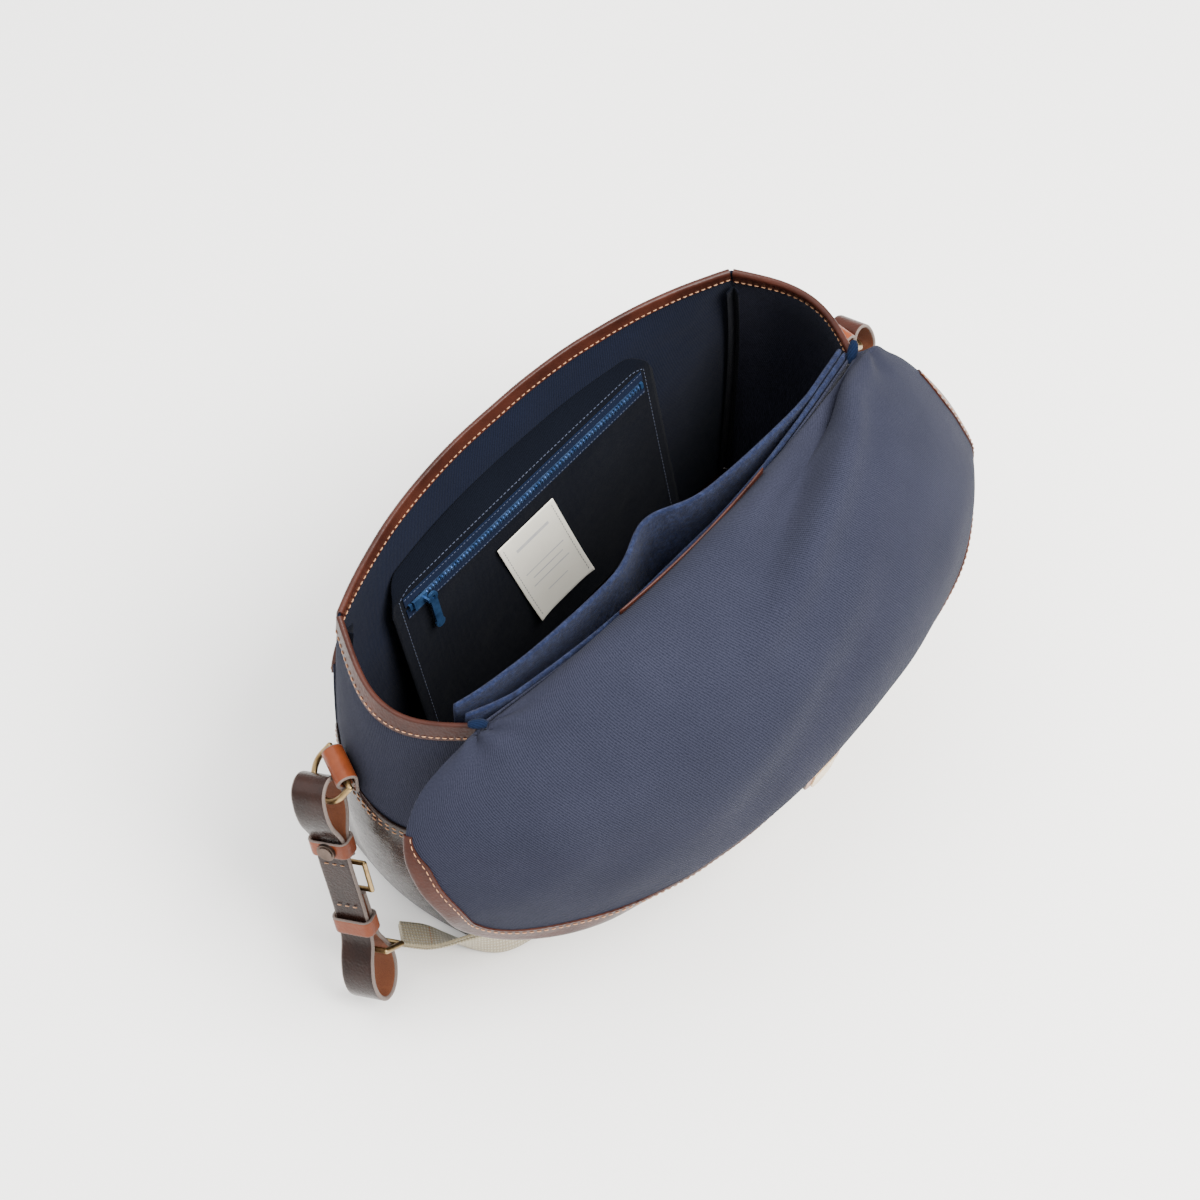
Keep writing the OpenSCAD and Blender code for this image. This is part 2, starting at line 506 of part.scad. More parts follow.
module flap_binding_front() color(leather_brown) flap_curves([
    hem_curve(flap_half_w - hem_w, hem_depth - hem_w, front_s), hem_curve(flap_half_w, hem_depth,
        front_s)],
    flap_t + 1.2);
cloth_edge = hem_curve(flap_half_w - hem_w - gap, hem_depth - hem_w - gap, front_s);
module flap_front() color(canvas_navy)
    flap_curves([[for (q = cloth_edge) [q[0], front_s]], [for (q = cloth_edge) [q[0], max(q[1],
        front_s + 0.02)]]], flap_t);

// The tab hangs from the hem on the side that faces the bag when the flap is closed
tab_w = 37;
tab_out = 26;
hem_dir = unit(flap_point(0, flap_s[3]) - flap_point(0, flap_s[2]));
hem_angle = atan2(hem_dir[2], hem_dir[1]);
module at_hem() translate(flap_point(0, flap_s[3])) rotate([hem_angle, 0, 0]) children();
module flap_tab() color(leather_cognac) at_hem() translate([-tab_w / 2, 0.4, -1.6]) difference() {
    cube([tab_w, tab_out, 3.2]);
    translate([tab_w / 2, 13, -1]) cylinder(r = 2.2, h = 6, $fn = ring_fn);
}
module tab_tongue() color(brass) at_hem() translate([0, 0, 1.7]) linear_extrude(1.2) union() {
    translate([-11, 6]) square([22, 16]);
    translate([0, 22]) circle(11, $fn = ring_fn);
}
module tab_rivets() color(brass) at_hem() translate([0, 13.4, -1.6]) cylinder(r = 2.1, h = 3.2,
    $fn = ring_fn);

base_leather();
base_board();
front_panel();
back_panel();
end_panel_right();
end_panel_left();
end_leather_right();
end_leather_left();
binding_front();
binding_right();
binding_left();
front_pocket();
pocket_binding();
lock_patch();
lock_plate();
lock_rivets();
lock_catch();
zip_pocket();
zip_tape();
zip_teeth();
zip_stops();
zip_slider();
zip_pull();
care_label();
felt_front();
felt_rear();
slip_pocket_edge();
corner_tab_right();
corner_tab_left();
ring_tab_right();
ring_tab_left();
d_ring_right();
d_ring_left();
carrying_band();
keeper_upper();
keeper_lower();
band_stud();
buckle_frame();
buckle_prong();
strap_ring();
shoulder_strap();
strap_end_left();
flap_root();
flap_middle();
flap_front();
flap_binding_middle();
flap_binding_front();
flap_tab();
tab_tongue();
tab_rivets();
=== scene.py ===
"""The messenger bag's looks: canvas, leather, felt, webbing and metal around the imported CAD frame."""
import math

import bpy
import numpy as np
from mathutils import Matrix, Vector, noise


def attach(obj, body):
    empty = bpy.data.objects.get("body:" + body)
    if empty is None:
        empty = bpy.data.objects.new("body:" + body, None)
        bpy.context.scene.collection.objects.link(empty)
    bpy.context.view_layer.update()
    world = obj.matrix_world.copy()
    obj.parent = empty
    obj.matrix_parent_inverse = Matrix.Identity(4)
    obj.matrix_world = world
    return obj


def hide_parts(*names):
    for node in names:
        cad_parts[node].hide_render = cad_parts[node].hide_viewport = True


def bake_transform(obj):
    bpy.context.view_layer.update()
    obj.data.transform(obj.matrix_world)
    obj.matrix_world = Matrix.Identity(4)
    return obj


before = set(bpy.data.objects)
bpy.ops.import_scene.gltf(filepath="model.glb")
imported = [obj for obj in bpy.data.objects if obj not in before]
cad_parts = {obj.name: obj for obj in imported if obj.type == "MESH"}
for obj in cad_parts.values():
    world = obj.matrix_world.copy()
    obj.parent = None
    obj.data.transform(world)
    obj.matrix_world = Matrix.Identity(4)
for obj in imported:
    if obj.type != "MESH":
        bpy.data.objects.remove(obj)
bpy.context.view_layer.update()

MM = 0.001
BODY = "bag"

# ---- Camera, floor and light ------------------------------------------------------------
CAMERA_AZIMUTH = 131
CAMERA_ELEVATION = 60
CAMERA_DISTANCE = 2.05
CAMERA_TARGET = Vector((0.0095, 0.0002, 0.150))


def away(azimuth, elevation):
    """The unit vector from the bag towards a viewer at this azimuth and elevation."""
    a, e = math.radians(azimuth), math.radians(elevation)
    return Vector((math.sin(a) * math.cos(e), -math.cos(a) * math.cos(e), math.sin(e)))


def make_camera():
    data = bpy.data.cameras.new("camera")
    data.lens = 90
    data.sensor_width = 36
    camera = bpy.data.objects.new("camera", data)
    back = away(CAMERA_AZIMUTH, CAMERA_ELEVATION)
    camera.location = CAMERA_TARGET + back * CAMERA_DISTANCE
    camera.rotation_euler = (-back).to_track_quat("-Z", "Y").to_euler()
    bpy.context.scene.collection.objects.link(camera)
    bpy.context.scene.camera = camera


def make_light(name, azimuth, elevation, distance, size, watts, colour=(1, 1, 1)):
    data = bpy.data.lights.new(name, "AREA")
    data.size = size
    data.energy = watts
    data.color = colour
    light = bpy.data.objects.new(name, data)
    back = away(azimuth, elevation)
    light.location = Vector((0, 0, 0.15)) + back * distance
    light.rotation_euler = (-back).to_track_quat("-Z", "Y").to_euler()
    bpy.context.scene.collection.objects.link(light)


# ---- Node materials ----------------------------------------------------------------------
class Nodes:
    """A small helper that adds shader nodes to one material and joins them."""

    def __init__(self, name):
        self.material = bpy.data.materials.new(name)
        self.material.use_nodes = True
        self.tree = self.material.node_tree
        self.tree.nodes.clear()
        self.shader = self.tree.nodes.new("ShaderNodeBsdfPrincipled")
        out = self.tree.nodes.new("ShaderNodeOutputMaterial")
        self.tree.links.new(self.shader.outputs[0], out.inputs[0])

    def add(self, kind, **values):
        node = self.tree.nodes.new("ShaderNode" + kind)
        for key, value in values.items():
            if hasattr(node, key) and key not in node.inputs:
                setattr(node, key, value)
            else:
                node.inputs[key.replace("_", " ")].default_value = value
        return node

    def math(self, operation, a, b=0.0, c=0.0):
        node = self.tree.nodes.new("ShaderNodeMath")
        node.operation = operation
        for socket, value in zip(node.inputs, (a, b, c)):
            if isinstance(value, (int, float)):
                socket.default_value = value
            else:
                self.tree.links.new(value, socket)
        return node.outputs[0]

    def ramp(self, source, stops):
        node = self.tree.nodes.new("ShaderNodeValToRGB")
        points = node.color_ramp.elements
        while len(points) < len(stops):
            points.new(0.5)
        for point, (place, colour) in zip(points, stops):
            point.position = place
            point.color = (*colour, 1)
        self.tree.links.new(source, node.inputs[0])
        return node.outputs[0]

    def mix(self, factor, a, b, how="MIX"):
        node = self.tree.nodes.new("ShaderNodeMix")
        node.data_type = "RGBA"
        node.blend_type = how
        for socket, value in ((node.inputs[0], factor), (node.inputs[6], a), (node.inputs[7], b)):
            if isinstance(value, (int, float)):
                socket.default_value = value
            elif isinstance(value, tuple):
                socket.default_value = (*value, 1)
            else:
                self.tree.links.new(value, socket)
        return node.outputs[2]

    def noise(self, vector, scale, detail=4.0, rough=0.55):
        node = self.add("TexNoise", Scale=scale, Detail=detail, Roughness=rough)
        if vector is not None:
            self.tree.links.new(vector, node.inputs["Vector"])
        return node.outputs["Fac"]

    def bump(self, height, strength, distance, before=None):
        node = self.add("Bump", Strength=strength, Distance=distance)
        self.tree.links.new(height, node.inputs["Height"])
        if before is not None:
            self.tree.links.new(before, node.inputs["Normal"])
        return node.outputs[0]

    def paint(self, colour=None, roughness=None, normal=None, **fixed):
        for name, value in (("Base Color", colour), ("Roughness", roughness), ("Normal", normal)):
            if value is None:
                continue
            if isinstance(value, (int, float)):
                self.shader.inputs[name].default_value = value
            elif isinstance(value, tuple):
                self.shader.inputs[name].default_value = (*value, 1)
            else:
                self.tree.links.new(value, self.shader.inputs[name])
        for name, value in fixed.items():
            self.shader.inputs[name.replace("_", " ")].default_value = value
        return self.material


def cloth_place(n):
    """The cloth's own flat coordinates in metres, stored on each woven piece."""
    return n.add("UVMap", uv_map="cloth").outputs[0]


def object_place(n):
    return n.add("TexCoord").outputs["Object"]


def split(n, vector):
    node = n.add("SeparateXYZ")
    n.tree.links.new(vector, node.inputs[0])
    return node.outputs[0], node.outputs[1]


def line_wave(n, phase, pitch):
    """A smooth 0 to 1 wave along phase, which is in metres."""
    wave = n.math("SINE", n.math("MULTIPLY", phase, 2 * math.pi / pitch))
    return n.math("MULTIPLY_ADD", wave, 0.5, 0.5)


def canvas(name, dark, light, slub, pitch=0.0019):
    """Steep diagonal twill with uneven threads."""
    n = Nodes(name)
    place = cloth_place(n)
    u, v = split(n, place)
    wobble = n.math("MULTIPLY", n.noise(place, 160.0, 2.0), 0.0011)
    phase = n.math("ADD", n.math("MULTIPLY_ADD", v, 0.34, u), wobble)
    rib = line_wave(n, phase, pitch)
    weft = line_wave(n, n.math("MULTIPLY_ADD", u, -0.3, v), pitch * 0.62)
    weave = n.math("MULTIPLY_ADD", weft, 0.3, n.math("MULTIPLY", rib, 0.7))
    blotch = n.noise(place, 14.0, 5.0, 0.6)
    fine = n.noise(place, 900.0, 2.0, 0.5)
    base = n.mix(weave, dark, light)
    base = n.mix(n.math("MULTIPLY", n.math("SUBTRACT", fine, 0.35), 0.9), base, slub)
    shade = n.ramp(blotch, [(0.3, (0.86, 0.86, 0.87)), (0.7, (1.08, 1.07, 1.06))])
    base = n.mix(1.0, base, shade, "MULTIPLY")
    height = n.math("MULTIPLY_ADD", fine, 0.35, weave)
    normal = n.bump(height, 0.5, 0.0006)
    normal = n.bump(n.noise(place, 34.0, 3.0), 0.25, 0.004, normal)
    return n.paint(base, 0.86, normal, Sheen_Weight=0.02, Sheen_Roughness=0.5, Specular_IOR_Level=0.05)


def leather(name, dark, light, gloss=0.42, grain=520.0, patches=30.0):
    n = Nodes(name)
    place = object_place(n)
    cloudy = n.noise(place, patches, 5.0, 0.6)
    pores = n.add("TexVoronoi", Scale=grain)
    n.tree.links.new(place, pores.inputs["Vector"])
    streak = n.noise(place, 190.0, 6.0, 0.7)
    base = n.mix(n.ramp(cloudy, [(0.28, (0, 0, 0)), (0.72, (1, 1, 1))]), dark, light)
    base = n.mix(n.math("MULTIPLY", streak, 0.35), base, tuple(c * 0.55 for c in dark))
    rough = n.math("MULTIPLY_ADD", streak, 0.28, gloss - 0.12)
    height = n.math("MULTIPLY_ADD", streak, 0.6, n.math("MULTIPLY", pores.outputs[0], 0.5))
    normal = n.bump(height, 0.35, 0.0007)
    return n.paint(base, rough, normal, Coat_Weight=0.02, Coat_Roughness=0.3, Specular_IOR_Level=0.16)


def cut_edge(name, base_colour):
    """The raw edge of a leather strip: layers of pressed fibre."""
    n = Nodes(name)
    place = object_place(n)
    fibre = n.noise(place, 1400.0, 5.0, 0.7)
    tint = n.mix(n.ramp(fibre, [(0.3, (0, 0, 0)), (0.7, (1, 1, 1))]), tuple(c * 0.55 for c in base_colour),
                 base_colour)
    return n.paint(tint, 0.75, n.bump(fibre, 0.6, 0.0006), Specular_IOR_Level=0.3)


def felt(name, dark, mid, light):
    n = Nodes(name)
    place = object_place(n)
    flock = n.noise(place, 260.0, 6.0, 0.75)
    curl = n.noise(place, 900.0, 4.0, 0.7)
    base = n.ramp(flock, [(0.3, dark), (0.5, mid), (0.68, light)])
    base = n.mix(n.math("MULTIPLY", curl, 0.4), base, dark)
    height = n.math("ADD", flock, curl)
    normal = n.bump(height, 0.9, 0.0016)
    return n.paint(base, 0.95, normal, Sheen_Weight=0.05, Sheen_Roughness=0.6, Specular_IOR_Level=0.1)


def webbing(name, dark, light):
    n = Nodes(name)
    place = cloth_place(n)
    u, v = split(n, place)
    along = line_wave(n, v, 0.0021)
    across = line_wave(n, u, 0.0026)
    weave = n.math("MULTIPLY", along, across)
    slub = n.noise(place, 240.0, 4.0, 0.65)
    base = n.mix(weave, dark, light)
    base = n.mix(n.math("MULTIPLY", slub, 0.5), base, tuple(c * 0.7 for c in dark))
    return n.paint(base, 0.9, n.bump(n.math("MULTIPLY_ADD", slub, 0.5, weave), 0.8, 0.0009),
                   Sheen_Weight=0.3, Sheen_Roughness=0.5, Specular_IOR_Level=0.15)


def metal(name, dark, light, rough=0.32, metallic=1.0):
    n = Nodes(name)
    place = object_place(n)
    worn = n.noise(place, 120.0, 6.0, 0.65)
    spots = n.noise(place, 700.0, 3.0, 0.6)
    base = n.mix(n.ramp(worn, [(0.32, (0, 0, 0)), (0.66, (1, 1, 1))]), dark, light)
    roughness = n.math("MULTIPLY_ADD", spots, 0.3, rough - 0.1)
    return n.paint(base, roughness, n.bump(worn, 0.12, 0.0006), Metallic=metallic)


def thread(name, colour):
    n = Nodes(name)
    twist = n.noise(object_place(n), 1500.0, 2.0, 0.5)
    base = n.mix(twist, tuple(c * 0.6 for c in colour), colour)
    return n.paint(base, 0.8, n.bump(twist, 0.5, 0.0003), Sheen_Weight=0.2)


def label_cloth(name):
    """Woven label cloth with plain grey rules where a maker would print, and a stitched border."""
    n = Nodes(name)
    place = cloth_place(n)
    u, v = split(n, place)
    rib = line_wave(n, v, 0.0012)
    crease = n.noise(place, 60.0, 4.0, 0.6)
    base = n.mix(n.math("MULTIPLY_ADD", rib, 0.3, n.math("MULTIPLY", crease, 0.5)), (0.60, 0.57, 0.48),
                 (0.74, 0.71, 0.62))
    ink = 0.0
    for middle, half_height, half_width in ((0.030, 0.0016, 0.016), (0.002, 0.0006, 0.019),
                                            (-0.006, 0.0006, 0.015),
                                            (-0.014, 0.0006, 0.018), (-0.028, 0.0005, 0.010)):
        inside_v = n.math("LESS_THAN", n.math("ABSOLUTE", n.math("SUBTRACT", v, middle)), half_height)
        inside_u = n.math("LESS_THAN", n.math("ABSOLUTE", u), half_width)
        ink = n.math("MAXIMUM", ink, n.math("MULTIPLY", inside_v, inside_u))
    faded = n.math("MULTIPLY", ink, n.math("MULTIPLY_ADD", crease, 0.8, 0.15))
    base = n.mix(faded, base, (0.16, 0.17, 0.24))
    return n.paint(base, 0.85, n.bump(rib, 0.3, 0.0003), Sheen_Weight=0.15)


def floor_paper(name):
    n = Nodes(name)
    tone = n.noise(object_place(n), 1.6, 2.0, 0.4)
    base = n.mix(tone, (0.93, 0.92, 0.90), (0.96, 0.95, 0.93))
    return n.paint(base, 0.95, None, Specular_IOR_Level=0.1)


MATERIALS = {
    "canvas": canvas("navy_canvas", (0.0060, 0.0072, 0.0135), (0.0205, 0.0220, 0.0370),
                     (0.0350, 0.0370, 0.0560), 0.0016),
    # A darker copy of the navy canvas: painted shade for the front panel's inside face, which sits in the
    # bag's shaded interior.
    "canvas_inner": canvas("navy_canvas_painted_shade", (0.0016, 0.0024, 0.0062), (0.0055, 0.0080, 0.0190),
                           (0.0090, 0.0112, 0.0230), 0.0016),
    "lining": canvas("dark_lining", (0.0006, 0.0009, 0.0022), (0.0022, 0.0032, 0.0070),
                     (0.0034, 0.0048, 0.0095), 0.0012),
    "tape": canvas("blue_tape", (0.0012, 0.0036, 0.0120), (0.0036, 0.0084, 0.0270),
                   (0.0060, 0.0132, 0.0360), 0.0012),
    "brown": leather("brown_leather", (0.0195, 0.0056, 0.0037), (0.0585, 0.0165, 0.0097), 0.34),
    "dark_brown": leather("dark_glossy_leather", (0.0070, 0.0038, 0.0031), (0.0238, 0.0091, 0.0063), 0.24),
    "cognac": leather("cognac_leather", (0.1040, 0.0224, 0.0072), (0.2000, 0.0464, 0.0144), 0.32),
    "suede": cut_edge("flesh_side", (0.1650, 0.0510, 0.0195)),
    "edge": cut_edge("grey_cut_edge", (0.1600, 0.1240, 0.1080)),
    # Pale pink leather face for the closing tab: a painted highlight, far lighter than the bag's other
    # leathers.
    "painted_highlight_face": leather("leather_face_painted_highlight", (0.2880, 0.1600, 0.1120), (0.4000, 0.2480, 0.1920), 0.5),
    "felt": felt("blue_felt", (0.0018, 0.0036, 0.0168), (0.0054, 0.0108, 0.0396), (0.0192, 0.0300, 0.0840)),
    "webbing": webbing("cotton_webbing", (0.2880, 0.2400, 0.1520), (0.4960, 0.4400, 0.3120)),
    "brass": metal("aged_brass", (0.1700, 0.1062, 0.0467), (0.3910, 0.2805, 0.1360)),
    "bright_brass": metal("bright_brass", (0.50, 0.36, 0.20), (0.75, 0.60, 0.38), 0.25),
    "dark_metal": metal("dark_stud", (0.05, 0.035, 0.028), (0.11, 0.08, 0.065), 0.4),
    "zip_metal": metal("blue_zip_metal", (0.012, 0.035, 0.09), (0.035, 0.09, 0.20), 0.35, 0.7),
    "zip_teeth": metal("zip_teeth_metal", (0.03, 0.07, 0.16), (0.12, 0.20, 0.36), 0.3, 0.8),
    "stitch": thread("pale_thread", (0.4000, 0.1920, 0.0880)),
    "dark_stitch": thread("navy_thread", (0.02, 0.032, 0.07)),
    "label": label_cloth("label_cloth"),
    "board": canvas("board_cover", (0.012, 0.016, 0.028), (0.035, 0.043, 0.07), (0.045, 0.05, 0.075)),
    "floor": floor_paper("floor_paper"),
}


# ---- Mesh helpers: every sheet is a closed solid with rounded edges ---------------------------
def new_object(name, points, faces, material, uvs=None, smooth=True, kinds=None):
    mesh = bpy.data.meshes.new(name)
    mesh.from_pydata([tuple(p) for p in points], [], faces)
    if kinds is not None:
        mesh.polygons.foreach_set("material_index", kinds)
    if uvs is not None:
        layer = mesh.uv_layers.new(name="cloth")
        index = np.empty(len(mesh.loops), dtype=np.int32)
        mesh.loops.foreach_get("vertex_index", index)
        layer.data.foreach_set("uv", np.asarray(uvs, dtype=np.float32)[index].ravel())
    mesh.validate()
    mesh.update()
    if smooth:
        mesh.polygons.foreach_set("use_smooth", [True] * len(mesh.polygons))
        mesh.set_sharp_from_angle(angle=math.radians(66))
    piece = bpy.data.objects.new(name, mesh)
    bpy.context.scene.collection.objects.link(piece)
    for kind in material if isinstance(material, (list, tuple)) else [material]:
        mesh.materials.append(MATERIALS[kind])
    return piece


def grid_normals(grid):
    across = np.gradient(grid, axis=1)
    along = np.gradient(grid, axis=0)
    normal = np.cross(across, along)
    return normal / np.maximum(np.linalg.norm(normal, axis=2, keepdims=True), 1e-12)


def sheet(name, grid, thick, material, uv, flip=False, layers=3, open_edges=(), normal=None):
    """A sheet with its middle on grid (rows, columns, 3), in mm, rounded at its four edges."""
    rows, cols, _ = grid.shape
    if normal is None:
        normal = grid_normals(grid)
    normal = normal * (-1 if flip else 1)
    inner = 1 - np.cos(np.linspace(0, math.pi, layers + 1))
    offsets = thick / 2 * (1 - inner)
    rounding = thick / 2 * np.sin(np.linspace(0, math.pi, layers + 1))
    top = grid + normal * thick / 2
    bottom = grid - normal * thick / 2
    points = [top.reshape(-1, 3), bottom.reshape(-1, 3)]
    uvs = [uv.reshape(-1, 2)] * 2
    count = rows * cols
    faces = []
    for i in range(rows - 1):
        for j in range(cols - 1):
            a, b, c, d = i * cols + j, i * cols + j + 1, (i + 1) * cols + j + 1, (i + 1) * cols + j
            faces.append((d, c, b, a) if flip else (a, b, c, d))
            faces.append(tuple(count + q for q in ((a, b, c, d) if flip else (d, c, b, a))))
    rim = [(0, j) for j in range(cols)] + [(i, cols - 1) for i in range(1, rows)]
    rim += [(rows - 1, j) for j in range(cols - 2, -1, -1)] + [(i, 0) for i in range(rows - 2, 0, -1)]
    along = np.gradient(grid, axis=0)
    across = np.gradient(grid, axis=1)
    rings = [[i * cols + j for i, j in rim]]
    start = 2 * count
    for step in range(1, layers):
        ring = []
        for i, j in rim:
            out = np.zeros(3)
            if i == 0:
                out = out - along[i, j] / np.linalg.norm(along[i, j])
            if i == rows - 1:
                out = out + along[i, j] / np.linalg.norm(along[i, j])
            if j == 0:
                out = out - across[i, j] / np.linalg.norm(across[i, j])
            if j == cols - 1:
                out = out + across[i, j] / np.linalg.norm(across[i, j])
            out = out / np.linalg.norm(out)
            left_open = ("start" in open_edges and i == 0) or ("end" in open_edges and i == rows - 1)
            bulge = 0 if left_open else rounding[step]
            points.append((grid[i, j] + normal[i, j] * offsets[step] + out * bulge)[None])
            uvs.append(uv[i, j][None])
            ring.append(start)
            start += 1
        rings.append(ring)
    rings.append([count + i * cols + j for i, j in rim])
    size = len(rim)
    for low, high in zip(rings, rings[1:]):
        for k in range(size):
            quad = (low[k], high[k], high[(k + 1) % size], low[(k + 1) % size])
            faces.append(quad[::-1] if flip else quad)
    faces = [f[::-1] for f in faces]
    return new_object(name, np.concatenate(points) * MM, faces, material, np.concatenate(uvs))


def path_frames(path, up, closed=False):
    """Unit tangents, sides and ups along a path, with up as close as it can be to the given vectors."""
    path = np.asarray(path, float)
    tangent = np.roll(path, -1, 0) - np.roll(path, 1, 0) if closed else np.gradient(path, axis=0)
    tangent /= np.linalg.norm(tangent, axis=1, keepdims=True)
    up = np.broadcast_to(np.asarray(up, float), path.shape)
    side = np.cross(tangent, up)
    side /= np.linalg.norm(side, axis=1, keepdims=True)
    return tangent, side, np.cross(side, tangent)


def sweep(name, path, section, material, up=(0, 0, 1), closed_path=False, kinds=None):
    """A closed section (side, up pairs in mm, or one such list for each place) carried along a path in mm.
    kinds gives the material number of each segment of the section."""
    path = np.asarray(path, float)
    _, side, lift = path_frames(path, up, closed_path)
    section = np.asarray(section, float)
    if section.ndim == 2:
        section = np.broadcast_to(section, (len(path), *section.shape))
    k = section.shape[1]
    rings = path[:, None] + side[:, None] * section[:, :, :1] + lift[:, None] * section[:, :, 1:]
    length = run_length(path)
    around = run_length(section[0])
    uv = np.stack(np.broadcast_arrays(around[None, :], length[:, None]), -1) * MM
    m = len(path)
    faces = [face[:1] + face[:0:-1] for face in tube_faces(m, k, closed_path)]
    numbers = None if kinds is None else [kinds[j] for _ in range(m if closed_path else m - 1)
                                          for j in range(k)]
    if not closed_path:
        faces.append(tuple(range(k)))
        faces.append(tuple((m - 1) * k + j for j in range(k - 1, -1, -1)))
        numbers = None if kinds is None else numbers + [kinds[0]] * 2
    return new_object(name, rings.reshape(-1, 3) * MM, faces, material, uv.reshape(-1, 2), kinds=numbers)


RIM_STEPS = 6
STRIP_KINDS = [1] * RIM_STEPS + [0] * 3 + [1] * RIM_STEPS + [2] * 3


def rounded_strip(width, thick):
    """The section of a strap: its first edge, its upper face, its second edge and its lower face."""
    pts = []
    flat = width / 2 - thick - 0.6
    corner = min(thick / 2, width / 4) * 0.85
    for way, first in ((1, -90), (-1, 90)):
        for a in np.radians(np.linspace(first, first + 180, RIM_STEPS + 1)):
            pts.append((way * (width / 2 - corner) + corner * math.cos(a), thick / 2 * math.sin(a)))
        pts += [(way * flat, way * thick / 2), (-way * flat, way * thick / 2)]
    return pts


def leather_strip(name, path, up, width, thick, materials=("brown", "edge", "suede"), closed_path=False):
    """A strap cut from leather, with its finished face towards up, raw edges and a flesh side."""
    section = [rounded_strip(w, thick) for w in np.broadcast_to(width, len(path))]
    return sweep(name, path, np.array(section), materials, up, closed_path, STRIP_KINDS)


def turned(place, angles):
    """A function that puts local points, in mm, where OpenSCAD's translate(place) rotate(angles) does."""
    a, b, c = np.radians(angles)
    rx = np.array([[1, 0, 0], [0, math.cos(a), -math.sin(a)], [0, math.sin(a), math.cos(a)]])
    ry = np.array([[math.cos(b), 0, math.sin(b)], [0, 1, 0], [-math.sin(b), 0, math.cos(b)]])
    rz = np.array([[math.cos(c), -math.sin(c), 0], [math.sin(c), math.cos(c), 0], [0, 0, 1]])
    turn = rz @ ry @ rx

    def put(points, vectors=False):
        moved = np.asarray(points, float) @ turn.T
        return moved if vectors else moved + np.array(place, float)
    return put


def bent_strip(name, route, put, width, thick, materials=("brown", "edge", "suede"), count=120):
    """A strap bent in one plane; route lists (x, z) in the frame of put, with its face on the left."""
    flat = smooth_path(np.array(route, float), count)
    way = np.gradient(flat, axis=0)
    outward = np.stack([-way[:, 1], 0 * way[:, 0], way[:, 0]], 1)
    path = np.stack([flat[:, 0], 0 * flat[:, 0], flat[:, 1]], 1)
    return leather_strip(name, put(path), put(outward, True), width, thick, materials)


def folded_edge(name, strip, normals, outward, half, wall, material):
    """A binding folded over an edge; strip (places, steps, 3) holds points ever deeper from the edge."""
    rings = []
    for q, n, o in zip(strip, normals, outward):
        ring = [q[k] + n[k] * (half + wall) for k in range(len(q) - 1, -1, -1)]
        for a in np.radians(np.linspace(30, 150, 5)):
            ring.append(q[0] + n[0] * math.cos(a) * (half + wall) + o * math.sin(a) * (half + wall))
        ring += [q[k] - n[k] * (half + wall) for k in range(len(q))]
        ring += [q[k] - n[k] * half for k in range(len(q) - 1, -1, -1)]
        ring += [q[k] + n[k] * half for k in range(len(q))]
        rings.append(ring)
    rings = np.array(rings)
    m, k = rings.shape[:2]
    run = run_length(strip[:, 0])
    uv = np.stack(np.broadcast_arrays(np.arange(k)[None, :] * 1.0, run[:, None]), -1) * MM
    faces = tube_faces(m, k)
    d = strip.shape[1]
    inner = list(range(k - 2 * d, k))
    outer = list(range(k - 2 * d))
    for base, turn in ((0, 1), ((m - 1) * k, -1)):
        for j in range(d - 1):
            upper = (outer[j], outer[j + 1], inner[2 * d - 2 - j], inner[2 * d - 1 - j])
            lower = (outer[-1 - j], outer[-2 - j], inner[j + 1], inner[j])
            faces.append(tuple(base + q for q in upper[::-turn]))
            faces.append(tuple(base + q for q in lower[::turn]))
        tip = outer[d - 1:len(outer) - d + 1] + [inner[d - 1], inner[d]]
        faces.append(tuple(base + q for q in tip[::-turn]))
    return new_object(name, rings.reshape(-1, 3) * MM, faces, material, uv.reshape(-1, 2))


def stitches(name, path, normals, material="stitch", pitch=5.2, length=3.4, radius=0.42, lift=0.25):
    """A row of separate stitches that sit a little proud of the surface, one in each pitch of the path."""
    path = np.asarray(path, float)
    normals = np.broadcast_to(np.asarray(normals, float), path.shape)
    run = run_length(path)
    count = max(2, int(run[-1] / pitch))
    points, faces = [], []
    for s in (np.arange(count) + 0.5) * run[-1] / count:
        ends = [np.array([np.interp(s + d, run, path[:, c]) for c in range(3)])
                for d in (-length / 2, length / 2)]
        normal = np.array([np.interp(s, run, normals[:, c]) for c in range(3)])
        normal /= np.linalg.norm(normal)
        way = ends[1] - ends[0]
        way /= np.linalg.norm(way)
        side = np.cross(way, normal)
        base = len(points)
        profile = ((0.0, 0.25, -0.55), (0.12, 0.8, 0.0), (0.5, 1.0, 0.35), (0.88, 0.8, 0.0),
                   (1.0, 0.25, -0.55))
        for t, size, rise in profile:
            centre = ends[0] + (ends[1] - ends[0]) * t + normal * (lift + rise * radius)
            for a in range(6):
                angle = math.radians(60 * a)
                points.append(centre + (side * math.cos(angle) + normal * math.sin(angle)) * radius * size)
        rings = len(profile)
        for i in range(rings - 1):
            for j in range(6):
                faces.append((base + i * 6 + j, base + i * 6 + (j + 1) % 6,
                              base + (i + 1) * 6 + (j + 1) % 6,
                              base + (i + 1) * 6 + j))
        faces.append(tuple(base + j for j in range(5, -1, -1)))
        faces.append(tuple(base + (rings - 1) * 6 + j for j in range(6)))
    return new_object(name, np.array(points) * MM, faces, material)


def hermite(t, h, start, end, start_slope, end_slope):
    """The cubic between two values with the given slopes, over a span h, at the share t."""
    return ((2 * t ** 3 - 3 * t ** 2 + 1) * start + (t ** 3 - 2 * t ** 2 + t) * h * start_slope
            + (3 * t ** 2 - 2 * t ** 3) * end + (t ** 3 - t ** 2) * h * end_slope)


def run_length(path):
    """The length of a path up to each of its points."""
    return np.concatenate([[0], np.cumsum(np.linalg.norm(np.diff(path, axis=0), axis=1))])


